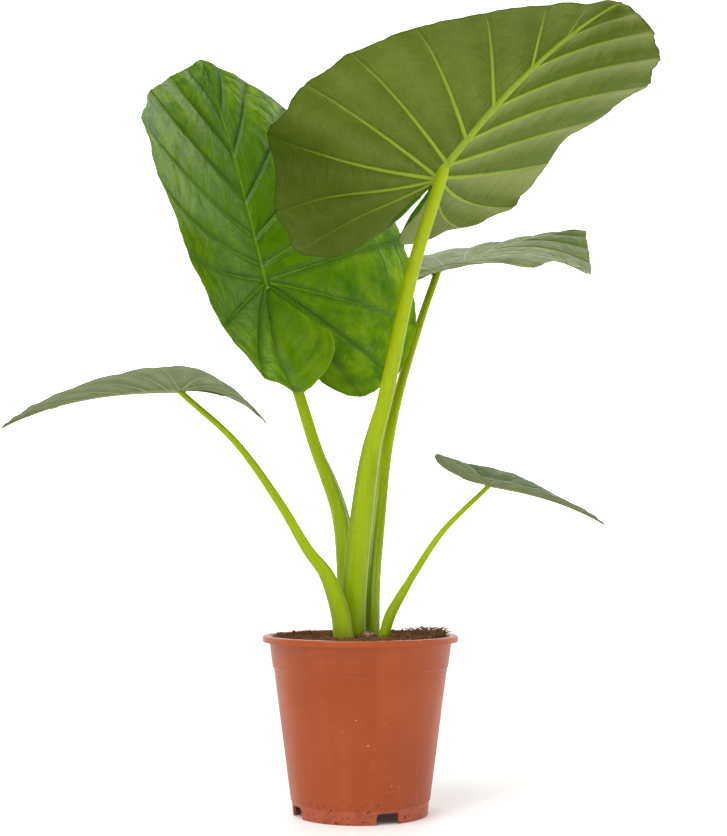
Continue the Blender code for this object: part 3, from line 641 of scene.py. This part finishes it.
def build_pot(surface):
    flange = POT_TOP - 2.2 * MM
    m = MM
    corners = [
        (0.0, 0.0), (20 * m, 0.0, 2 * m), (29 * m, 12 * m, 2 * m), (66.6 * m, 12 * m, 1 * m),
        (70.2 * m, 10 * m, 1 * m), (69.7 * m, 0.0, 0.6 * m), (72.2 * m, 0.0, 0.8 * m),
        (73.55 * m, 14.2 * m, 0.4 * m), (wall_radius(15.3 * m), 15.2 * m, 0.5 * m),
        (wall_radius(60 * m), 60 * m), (wall_radius(110 * m), 110 * m),
        (wall_radius(154.4 * m), 154.4 * m, 0.5 * m), (wall_radius(155.6 * m), 155.6 * m, 0.5 * m),
        (wall_radius(flange - 2 * m), flange - 2 * m), (wall_radius(flange) + 1.4 * m, flange, 1.2 * m),
        (104.2 * m, flange, 0.5 * m), (104.35 * m, 182.4 * m, 0.4 * m), (105.5 * m, 182.4 * m, 0.5 * m),
        (105.85 * m, 186.8 * m, 0.6 * m), (105.0 * m, POT_TOP, 1.0 * m),
        (inner_radius(POT_TOP), POT_TOP, 1.3 * m), (inner_radius(120 * m), 120 * m),
        (inner_radius(18 * m), 18 * m, 2 * m), (69 * m, 14 * m, 2 * m), (28 * m, 14 * m, 2 * m),
        (19 * m, 2 * m, 1 * m), (0.0, 2 * m)]
    pot = turned("pot_body", rounded_profile(corners), 180, surface)
    for degrees in (23, 113, 203, 293):
        subtract(pot, block_cutter(degrees))
    drain_holes, ring_radius = 8, 48 * m
    for index in range(drain_holes):
        angle = math.tau * (index + 0.5) / drain_holes
        place = (ring_radius * math.cos(angle), ring_radius * math.sin(angle), 13 * m)
        bpy.ops.mesh.primitive_cylinder_add(vertices=32, radius=4 * m, depth=12 * m, location=place)
        subtract(pot, bpy.context.object)
    pot.data.shade_smooth()
    pot.data.set_sharp_from_angle(angle=math.radians(35))
    return pot


def block_cutter(degrees):
    near, far, low, high = WALL_FOOT_R - 5 * MM, WALL_FOOT_R + 8 * MM, -3 * MM, 12 * MM
    corners = [(side * half, out, height) for height, half in ((low, 13 * MM), (high, 12 * MM))
               for side, out in ((-1, near), (1, near), (1, far), (-1, far))]
    turn = math.radians(degrees)
    c, s = math.cos(turn), math.sin(turn)
    points = [(c * x + s * y, s * x - c * y, z) for x, y, z in corners]
    faces = [(0, 1, 2, 3), (7, 6, 5, 4), (0, 4, 5, 1), (1, 5, 6, 2), (2, 6, 7, 3), (3, 7, 4, 0)]
    cutter = add_mesh("notch", points, faces, bpy.data.materials.new("notch"), 20.0)
    recalculate_normals(cutter.data, 1.5 * MM)
    return cutter


def soil_height(x, y):
    lumps = math.sin(95 * x + 1.0) * math.cos(120 * y) + 0.6 * math.sin(210 * y + 60 * x)
    heap = math.exp(-((x - 74 * MM) ** 2 + (y + 8 * MM) ** 2) / (26 * MM) ** 2)
    return SOIL_Z + 4.6 * MM + 1.0 * MM * lumps + 4.2 * MM * heap


def build_soil(surface):
    """The bed down to the pot's floor, its top broken into crumbs by layered noise."""
    sides = 260
    radius_top = inner_radius(SOIL_Z) - 0.6 * MM
    points, rings = [], []
    rows = [(r, "low") for r in (29 * MM, 66 * MM)] + [(inner_radius(19 * MM) - 0.6 * MM, "side")]
    rows += [(radius_top * f, "top") for f in np.linspace(1.0, 0.015, 90)]
    for radius, kind in rows:
        rings.append(list(range(len(points), len(points) + sides)))
        for k in range(sides):
            x, y = radius * math.cos(math.tau * k / sides), radius * math.sin(math.tau * k / sides)
            if kind == "top":
                fine = noise.fractal(Vector((x, y, 0.3)) * 170, 0.8, 2.1, 5)
                coarse = noise.noise(Vector((x, y, 1.7)) * 60)
                fade = 0.25 if radius > radius_top * 0.985 else 1.0
                z = soil_height(x, y) + fade * (1.3 * MM * fine + 1.2 * MM * coarse)
            else:
                z = LOW_Z if kind == "low" else 19 * MM
            points.append((x, y, z))
    faces = [(low[k], low[(k + 1) % sides], high[(k + 1) % sides], high[k])
             for low, high in zip(rings[:-1], rings[1:]) for k in range(sides)]
    points += [(0.0, 0.0, LOW_Z), (0.0, 0.0, soil_height(0, 0))]
    faces += [(rings[0][(k + 1) % sides], rings[0][k], len(points) - 2) for k in range(sides)]
    faces += [(rings[-1][k], rings[-1][(k + 1) % sides], len(points) - 1) for k in range(sides)]
    return add_mesh("soil_bed", points, faces, surface, 80.0)


def chip_mesh(name, size, seed, surface):
    """One broken crumb of bark."""
    shape = bmesh.new()
    bmesh.ops.create_icosphere(shape, subdivisions=2, radius=1.0)
    for vertex in shape.verts:
        push = 1 + 0.45 * noise.noise(vertex.co * 1.7 + Vector((seed, 0, 0)))
        vertex.co = Vector((vertex.co.x * size[0], vertex.co.y * size[1], vertex.co.z * size[2])) * push
    mesh = bpy.data.meshes.new(name)
    shape.to_mesh(mesh)
    shape.free()
    mesh.materials.append(surface)
    return add_object(name, mesh)


def scatter(name, ground, chips, density, seed, smallest, largest, surface):
    """Chips strewn over the top of the ground by a node group, then made into one plain mesh."""
    group = bpy.data.node_groups.new(name, "GeometryNodeTree")
    for way in ("INPUT", "OUTPUT"):
        group.interface.new_socket("Geometry", in_out=way, socket_type="NodeSocketGeometry")
    new, link = group.nodes.new, group.links.new
    source, sink = new("NodeGroupInput"), new("NodeGroupOutput")
    strewn = new("GeometryNodeDistributePointsOnFaces")
    strewn.inputs["Density"].default_value = density
    strewn.inputs["Seed"].default_value = seed
    normal, split = new("GeometryNodeInputNormal"), new("ShaderNodeSeparateXYZ")
    above = new("ShaderNodeMath")
    above.operation = "GREATER_THAN"
    above.inputs[1].default_value = 0.35
    gathered, place = new("GeometryNodeJoinGeometry"), new("GeometryNodeInstanceOnPoints")
    for chip in chips:
        info = new("GeometryNodeObjectInfo")
        info.inputs["Object"].default_value = chip
        info.inputs["As Instance"].default_value = True
        link(info.outputs["Geometry"], gathered.inputs[0])
    turn, scale = new("FunctionNodeRandomValue"), new("FunctionNodeRandomValue")
    turn.data_type = "FLOAT_VECTOR"
    turn.inputs[1].default_value = (math.tau, math.tau, math.tau)
    scale.inputs[2].default_value = smallest
    scale.inputs[3].default_value = largest
    place.inputs["Pick Instance"].default_value = True
    real, paint = new("GeometryNodeRealizeInstances"), new("GeometryNodeSetMaterial")
    paint.inputs["Material"].default_value = surface
    for start, outlet, end, inlet in (
            (normal, 0, split, 0), (split, 2, above, 0), (above, 0, strewn, "Selection"),
            (source, 0, strewn, "Mesh"), (strewn, 0, place, "Points"), (gathered, 0, place, "Instance"),
            (turn, 0, place, "Rotation"), (scale, 1, place, "Scale"), (place, 0, real, 0),
            (real, 0, paint, 0), (paint, 0, sink, 0)):
        link(start.outputs[outlet], end.inputs[inlet])
    carrier = add_object(name + "_carrier", ground.data)
    modifier = carrier.modifiers.new(name, "NODES")
    modifier.node_group = group
    bpy.context.view_layer.update()
    mesh = evaluated_mesh(carrier)
    bpy.data.objects.remove(carrier, do_unlink=True)
    for chip in chips:
        bpy.data.objects.remove(chip, do_unlink=True)
    mesh.materials.clear()
    mesh.materials.append(surface)
    mesh.shade_smooth()
    return add_object(name, mesh)


def build_fibres(name, count, surface, centre, spread, length, thickness, upright, seed):
    """Loose coir threads: thin bent tubes that start at the soil's surface."""
    rng = np.random.default_rng(seed)
    points, faces = [], []
    limit = inner_radius(SOIL_Z) - 3 * MM
    for _ in range(count):
        x, y = centre[0] + rng.normal(0, spread[0]), centre[1] + rng.normal(0, spread[1])
        if math.hypot(x, y) > limit:
            continue
        heading = rng.uniform(0, math.tau)
        rise = rng.uniform(*upright)
        bend = rng.normal(0, 0.9)
        size = rng.uniform(*length) * MM
        radius = rng.uniform(*thickness) * MM
        here = np.array([x, y, soil_height(x, y) + 0.2 * MM])
        steps = 9
        first = len(points)
        for k in range(steps):
            f = k / (steps - 1)
            way = np.array([math.cos(heading + bend * f), math.sin(heading + bend * f), rise * (1 - 1.4 * f)])
            way = unit(way)
            outside = math.hypot(*(here + way * size / steps)[:2]) > limit
            if outside and here[2] < POT_TOP + 1.2 * MM:
                way = unit((-4 * here[0], -4 * here[1], 0.25))
            side = unit(np.cross(way, (0.3, 0.2, 1.0)))
            up = np.cross(side, way)
            thin = radius * (1 - 0.75 * f)
            points += [here + thin * (math.cos(a) * side + math.sin(a) * up) for a in THREAD_CORNERS]
            here = here + way * size / steps
            ground = soil_height(here[0], here[1])
            if math.hypot(here[0], here[1]) > limit:
                ground = max(ground, POT_TOP + radius)
            here[2] = max(here[2], ground + radius * 0.4)
        for k in range(steps - 1):
            a, b = first + 5 * k, first + 5 * (k + 1)
            faces += [(a + j, b + j, b + (j + 1) % 5, a + (j + 1) % 5) for j in range(5)]
        end = first + 5 * (steps - 1)
        faces += [tuple(range(first, first + 5)), tuple(range(end + 4, end - 1, -1))]
    made = add_mesh(name, points, faces, surface, 80.0)
    recalculate_normals(made.data)
    return made


def build_corm(surface):
    """The brown lump between the stalks: ringed, ragged layers of dry husk."""
    sides, rows = 96, 60
    centre, radius, base = (9.0 * MM, -15.5 * MM), 8.0 * MM, SOIL_Z - 14 * MM
    points = []
    for row in range(rows):
        f = row / (rows - 1)
        z = base + f * 27.5 * MM
        above = np.clip((z - SOIL_Z - 2 * MM) / (11.5 * MM), 0, 1)
        shell = radius * (1 - 0.62 * above ** 2.6)
        for k in range(sides):
            a = math.tau * k / sides
            rough = noise.fractal(Vector((math.cos(a) * 1.4, math.sin(a) * 1.4, f * 5)), 0.9, 2.0, 5)
            flake = ((above * 3.2 + 0.18 * math.sin(a * 3)) % 1.0) * 0.09
            r = shell * (1 + 0.17 * rough - flake)
            points.append((centre[0] + 1.28 * r * math.cos(a), centre[1] + r * math.sin(a), z))
    return add_mesh("corm_husk_body", points, tube_faces(rows, sides), surface, 60.0)


def pot_surface():
    """Terracotta-coloured plastic: slight drift, fine grain, painted vertical sheen bands, pale scuffs, and
    dark specks near the foot.
    """
    s = Shader("terracotta_plastic")
    place = s.coordinates()
    height = s.node("ShaderNodeSeparateXYZ", {0: place}).outputs[2]
    drift = s.band(s.noise(14.0, 4.0), 0.3, 0.7)
    colour = s.mix(drift, linear(170, 80, 36), linear(158, 71, 29))
    around = s.noise(1.0, 4.0, 0.6, s.coordinates((18.0, 18.0, 220.0)))
    colour = s.mix(s.times(s.band(around, 0.52, 0.75), 0.12), colour, linear(190, 104, 68))
    # Painted sheen: soft vertical bands, darker in places, stand in for the light and dark bands that
    # reflections lay on the pot.
    sheen_bands = s.noise(1.0, 2.0, 0.5, s.coordinates((42.0, 42.0, 1.2)))
    colour = s.mix(s.band(sheen_bands, 0.38, 0.62, 0.0, 0.3), colour, linear(140, 62, 26))
    ring = s.times(s.band(height, 0.0155, 0.0145), s.band(s.noise(60.0, 4.0), 0.3, 0.65, 0.15, 0.65))
    colour = s.mix(ring, colour, linear(186, 98, 72))
    scuffs = s.times(s.band(s.noise(190.0, 2.0, 0.5), 0.725, 0.75), s.band(s.noise(17.0, 2.0), 0.45, 0.6))
    colour = s.mix(s.times(scuffs, 0.6), colour, linear(224, 168, 138))
    specks = s.times(s.band(s.noise(210.0, 4.0, 0.65), 0.60, 0.63),
                    s.band(height, 0.03, 0.015))
    colour = s.mix(s.times(specks, 0.85), colour, linear(70, 35, 22))
    dust = s.times(s.band(s.noise(90.0, 6.0, 0.7), 0.5, 0.7), s.band(height, 0.024, 0.004, 0.0, 0.8))
    colour = s.mix(dust, colour, linear(110, 58, 38))
    normal = s.bump(s.noise(900.0, 2.0), 0.10, 0.0003)
    normal = s.bump(around, 0.06, 0.0006, normal)
    rough = s.plus(s.band(drift, 0.0, 1.0, 0.36, 0.44), s.times(scuffs, 0.2))
    return s.finish(Base_Color=colour, Roughness=rough, Normal=normal, Specular_IOR_Level=0.24)


def soil_surface(name, colours, scale=1.0):
    """Dry mix: three browns, from dark to light, broken up by straws."""
    dark, middle, light = colours
    s = Shader(name)
    coarse = s.band(s.noise(130.0 * scale, 5.0, 0.65), 0.3, 0.7)
    fine = s.band(s.noise(700.0 * scale, 4.0, 0.7), 0.35, 0.7)
    straws = s.band(s.noise(1.0, 4.0, 0.6, s.coordinates((900.0, 120.0, 300.0))), 0.62, 0.7)
    colour = s.mix(coarse, dark, middle)
    colour = s.mix(s.times(fine, 0.5), colour, light)
    colour = s.mix(s.times(straws, 0.5), colour, linear(176, 142, 98))
    normal = s.bump(s.plus(coarse, fine), 0.7, 0.0012)
    return s.finish(Base_Color=colour, Roughness=0.93, Normal=normal, Specular_IOR_Level=0.2)


def corm_surface():
    s = Shader("dry_husk")
    rings = s.noise(1.0, 5.0, 0.65, s.coordinates((120.0, 120.0, 900.0)))
    colour = s.mix(s.band(rings, 0.35, 0.65), linear(78, 50, 32), linear(176, 146, 112))
    colour = s.mix(s.band(s.noise(220.0, 4.0), 0.45, 0.6), colour, linear(48, 30, 20))
    return s.finish(Base_Color=colour, Roughness=0.8, Normal=s.bump(rings, 0.6, 0.001))


# The plant's own measures


def leaf_settings(**values):
    settings = dict(
        outline_right=OUTLINE, outline_left=OUTLINE, width=1.0, droop_power=1.5, lobe_twist=0.0, sweep=0.0,
        lobe_sweep=0.0, lap_lift=0.5, keel_height=3.2 * MM, rib_height=1.7 * MM, puff=4.0 * MM, wave=0.8 * MM,
        sink=0.5 * MM, grid=(26, 46), deep_right=1.1, deep_left=1.1, lumps=0.12, scallop=0.007)
    settings.update(values)
    settings["joint"] = np.array(settings["joint"], float) * MM
    settings["length"] *= MM
    return settings


TALL_OUTLINE = (
    (0, 0.995), (0.052, 0.955), (0.165, 0.858), (0.304, 0.686), (0.432, 0.472), (0.518, 0.221),
    (0.545, -0.03), (0.498, -0.255), (0.384, -0.44), (0.23, -0.515), (0.103, -0.458), (0.036, -0.3),
    (0.02, -0.14), (0, NOTCH_Y))
BROAD_OUTLINE = (
    (0, 1), (0.048, 0.955), (0.158, 0.865), (0.308, 0.707), (0.437, 0.49), (0.512, 0.23), (0.52, -0.03),
    (0.475, -0.262), (0.355, -0.447))
BACK_LEFT_LOBE = BROAD_OUTLINE + (
    (0.18, -0.51), (0.04, -0.5), (-0.07, -0.42), (-0.1, -0.31), (-0.07, -0.2), (0, NOTCH_Y))
BACK_RIGHT_LOBE = BROAD_OUTLINE + (
    (0.23, -0.505), (0.13, -0.46), (0.07, -0.36), (0.05, -0.24), (0.04, -0.13), (0, NOTCH_Y))
SHORT_LOBE = OUTLINE[:7] + (
    (0.4, -0.175), (0.28, -0.28), (0.175, -0.33), (0.09, -0.31), (0.035, -0.23), (0.018, -0.12),
    (0, NOTCH_Y))

LEAVES = {
    "tall": leaf_settings(
        joint=(81.1, -100, 667.6), length=303, width=1.09, azimuth=-46.5, pitch=39.1, roll=50.8,
        droop=50.8, lobe_droop_right=24, lobe_droop_left=-43.5, fold_right=(-20.1, -5, 32),
        fold_left=(57.9, -5.1, 47.7), curl_right=-12.8, curl_left=5.2, twist=-29.4, lobe_twist=-6.1,
        sweep=-0.145, lobe_sweep=0.035, outline_right=TALL_OUTLINE, outline_left=TALL_OUTLINE, seed=11,
        deep_left=2.3, scallop=0.014),
    "back_left": leaf_settings(
        joint=(-105.5, 0, 577.7), length=298, width=1.324, azimuth=165.1, pitch=75.2, roll=24, droop=20.2,
        lobe_droop_right=-4.6, lobe_droop_left=-32.9, fold_right=(28.8, 2.2, 33),
        fold_left=(-0.8, -1.3, -0.6), curl_right=-17.8, curl_left=30.3, twist=11.5, lobe_twist=-4.8,
        sweep=0.11, lobe_sweep=-0.049, outline_left=BACK_LEFT_LOBE, outline_right=BACK_RIGHT_LOBE,
        lap_lift=0.9, seed=23, deep_left=1.6, deep_right=1.3, lumps=0.2, sink=0.9 * MM),
    "back_right": leaf_settings(
        joint=(98, 246, 636.8), length=326, width=1.052, azimuth=42.6, pitch=23, roll=1.2, droop=14.8,
        droop_power=1.84, lobe_droop_right=9.6, lobe_droop_left=9.6, fold_right=(5.7, -38.5, 25.8),
        fold_left=(8.6, -5.5, 4.7), curl_right=-24.7, curl_left=-4.6, twist=-8.6, sweep=-0.007,
        lobe_sweep=0.009, outline_right=SHORT_LOBE, outline_left=SHORT_LOBE, seed=35),
    "low_left": leaf_settings(
        joint=(-192, -50, 449.3), length=193, width=0.951, azimuth=185.1, pitch=-1.1, roll=4, droop=27.8,
        droop_power=1.44, lobe_droop_right=49.8, lobe_droop_left=49.8, fold_right=(18.6, 9.2, 13.8),
        fold_left=(25.5, 8.2, 9.6), curl_right=-30.4, curl_left=-26.1, twist=-2.6, sweep=-0.004,
        keel_height=2.0 * MM, rib_height=1.0 * MM, puff=2.0 * MM, wave=0.5 * MM, grid=(20, 34), seed=47),
    "low_right": leaf_settings(
        joint=(137.7, -30, 349.7), length=130, width=0.953, azimuth=-4.5, pitch=-10.4, roll=-4.3,
        droop=21.8, lobe_droop_right=-22.3, lobe_droop_left=-22.3, fold_right=(17.9, 10.5, 29.3),
        fold_left=(24.1, 7.6, 22.6), curl_right=-23.1, curl_left=-15.6, twist=2.9, keel_height=1.6 * MM,
        rib_height=0.8 * MM, puff=1.3 * MM, wave=0.4 * MM, grid=(18, 30), seed=59),
}

STALKS = {
    "tall": dict(
        route=((-6, 2, 184), (-5, 0, 226), (3, -6, 315), (13, -18, 390), (27, -32, 445), (57, -74, 581),
               (80.5, -98, 655)),
        radii=(11, 11.2, 10.6, 9, 8, 7, 6.3), sheath=(0, 5, 5, 3, 0, 0, 0), faces=(-1, 0.35, 0), phase=14),
    "back_left": dict(
        route=((-17, 27, 184), (-17, 30, 240), (-23, 38, 315), (-37, 40, 360), (-49.5, 40, 392),
               (-73, 38, 466), (-99, 28, 541), (-105, 7, 573)),
        radii=(9, 9.2, 8.6, 7.8, 7, 6.2, 5.6, 5.2), sheath=(0, 3, 4, 2.6, 0, 0, 0, 0),
        faces=(1, -0.2, 0.3), phase=12),
    "back_right": dict(
        route=((13, 23, 184), (14, 31, 240), (21, 50, 320), (30, 74, 396), (44, 101, 461),
               (74, 180, 562), (96.9, 242.5, 631)),
        radii=(8, 8, 7.4, 6.7, 5.8, 4.9, 4.6), sheath=(0, 2.5, 2.5, 0, 0, 0, 0), faces=(-1, -0.6, 0.3),
        phase=12),
    "low_left": dict(
        route=((-17.5, -25, 184), (-22, -26, 212), (-37, -29, 254), (-56, -31, 280), (-85, -37.5, 329),
               (-133, -45, 395), (-188, -50, 445)),
        radii=(11, 9.6, 7, 5.6, 4.9, 3.6, 3.1), sheath=(0, 3, 3, 1.5, 0, 0, 0), faces=(1, 0.2, 1),
        phase=12),
    "low_right": dict(
        route=((24, -12, 184), (32, -13, 210), (44, -15, 232), (57, -18, 254), (88, -24, 300),
               (135.5, -30, 347)),
        radii=(5.8, 5.6, 4.6, 3.9, 3.2, 2.4), sheath=(0, 1.6, 1.4, 0, 0, 0), faces=(-1, 0.2, 1), phase=10),
}


def build_plant():
    green = palette((50, 92, 6), (78, 122, 8), (36, 76, 8))
    gloss_green = palette((62, 104, 0), (84, 124, 0), (50, 90, 0))
    grey_under = palette((102, 114, 70), (120, 130, 86), (86, 100, 58))
    olive_top = palette((74, 98, 30), (98, 116, 46), (58, 82, 24))
    olive_under = palette((80, 98, 22), (98, 112, 34), (68, 88, 16))
    dusty_top = palette((78, 98, 30), (104, 118, 46), (64, 84, 26))
    dusty_under = palette((92, 106, 46), (112, 124, 56), (78, 94, 40))
    low_rib, low_highlight_tint = linear(110, 140, 50), linear(146, 156, 110)
    surfaces = {
        "tall": leaf_surface("leaf_tall", green, olive_under, linear(120, 150, 30), linear(144, 164, 46),
                             0.42, 0.14, linear(138, 146, 84), bay_highlight_share=0.12, lit_half_share=0.66),
        "back_left": leaf_surface("leaf_back_left", gloss_green, olive_under, linear(116, 156, 20),
                                  linear(146, 170, 44), 0.25, 0.12, dry_tip=0.0, painted_light_share=0.7),
        "back_right": leaf_surface("leaf_back_right", dusty_top, dusty_under, linear(150, 168, 80),
                                   linear(160, 174, 96), 0.46, 0.24, linear(122, 130, 74)),
        "low_left": leaf_surface("leaf_low_left", olive_top, grey_under, low_rib, linear(142, 152, 104),
                                 0.42, 0.2, low_highlight_tint),
        "low_right": leaf_surface("leaf_low_right", olive_top, grey_under, low_rib, linear(144, 154, 100),
                                  0.42, 0.2, low_highlight_tint),
    }
    skin = stalk_surface("stalk_lime", linear(150, 178, 0), linear(162, 180, 0), linear(130, 154, 24))
    for name, leaf in LEAVES.items():
        declare(build_blade(f"leaf_{name}", leaf, surfaces[name]), f"blade_{name}")
        declare(build_stalk(f"stem_{name}", STALKS[name], leaf, skin), f"stalk_{name}")


def build_pot_and_soil():
    declare(build_pot(pot_surface()), "pot")
    bed = soil_surface("potting_mix_bed", palette((66, 42, 28), (114, 80, 54), (140, 106, 74)))
    bark = soil_surface("bark_crumbs", palette((80, 50, 32), (128, 88, 58), (162, 124, 86)), 1.6)
    soil = declare(build_soil(bed), "soil")
    chips = [chip_mesh("chip_a", (2.6 * MM, 1.6 * MM, 1.0 * MM), 1.0, bark),
             chip_mesh("chip_b", (1.5 * MM, 1.2 * MM, 1.1 * MM), 5.0, bark),
             chip_mesh("chip_c", (4.2 * MM, 1.1 * MM, 0.7 * MM), 9.0, bark)]
    declare(scatter("soil_crumbs", soil, chips, 52000.0, 5, 0.5, 1.7, bark), "soil")
    straw = soil_surface("coir_threads", palette((104, 66, 38), (158, 114, 72), (194, 156, 110)), 2.0)
    tuft = soil_surface("coir_tuft", palette((88, 54, 34), (138, 92, 60), (176, 134, 94)), 2.0)
    threads = build_fibres("soil_threads", 900, straw, (0, 0), (56 * MM, 56 * MM), (8, 22),
                           thickness=(0.3, 0.8), upright=(0.0, 0.7), seed=3)
    declare(threads, "soil")
    fibres = build_fibres("soil_tuft", 380, tuft, (78 * MM, -16 * MM), (13 * MM, 28 * MM), (8, 22),
                          thickness=(0.45, 1.2), upright=(0.2, 2.2), seed=8)
    declare(fibres, "soil")
    declare(build_corm(corm_surface()), "corm")


# Studio


def point_at(made, place, aim):
    made.rotation_euler = (Vector(aim) - Vector(place)).to_track_quat("-Z", "Y").to_euler()


def area_light(name, place, aim, size, power, colour):
    data = bpy.data.lights.new(name, "AREA")
    data.shape = "RECTANGLE"
    data.size, data.size_y = size
    data.energy = power
    data.color = colour
    made = add_object(name, data)
    made.location = place
    point_at(made, place, aim)


def build_studio():
    """Pale floor, bright far wall, soft daylight and the photo's camera."""
    s = Shader("studio_floor")
    tone = s.mix(s.noise(2.0, 2.0), (0.9, 0.9, 0.9), (0.92, 0.92, 0.915))
    white = (1.0, 1.0, 1.0)
    floor_skin = s.finish(Base_Color=tone, Roughness=0.6, Emission_Color=white, Emission_Strength=0.02)
    size = 40.0
    corners = [(-size, -size, 0), (size, -size, 0), (size, size, 0), (-size, size, 0)]
    floor = add_mesh("studio_floor", corners, [(0, 1, 2, 3)], floor_skin)
    glow = Shader("studio_wall")
    light = glow.mix(glow.noise(0.2, 1.0), white, (0.995, 0.997, 1.0))
    wall_skin = glow.finish(Base_Color=(0.9, 0.9, 0.9), Emission_Color=light, Emission_Strength=1.0)
    back, side, low, high = 9, 30, -1, 20
    corners = [(-side, back, low), (side, back, low), (side, back, high), (-side, back, high)]
    wall = add_mesh("studio_wall", corners, [(3, 2, 1, 0)], wall_skin)
    scene = bpy.context.scene
    world = bpy.data.worlds.new("studio_air")
    world.use_nodes = True
    air = world.node_tree.nodes["Background"].inputs
    air[0].default_value = (*white, 1.0)
    air[1].default_value = 0.3
    scene.world = world
    scene.view_settings.view_transform = "Standard"
    sun_data = bpy.data.lights.new("key", "SUN")
    sun_data.energy = 2.2
    sun_data.angle = math.radians(40)
    sun = add_object("key", sun_data)
    point_at(sun, (-0.8, -1.1, 2.4), (0, 0, 0))
    area_light("front", (-1.5, -2.4, 1.5), (0, 0, 0.5), (0.7, 1.0), 16.0, (1.0, 0.985, 0.95))
    area_light("side", (2.0, -0.9, 0.5), (0, 0, 0.6), (0.6, 0.9), 12.0, (0.97, 0.985, 1.0))
    data = bpy.data.cameras.new("camera")
    data.lens = 61.0
    data.sensor_width = 36.0
    camera = add_object("camera", data)
    camera.location = (0.0033, -1.55, 0.285)
    upward = 5.157
    camera.rotation_euler = (math.radians(90 + upward), 0.0, 0.0)
    scene.camera = camera


build_pot_and_soil()
build_plant()
build_studio()
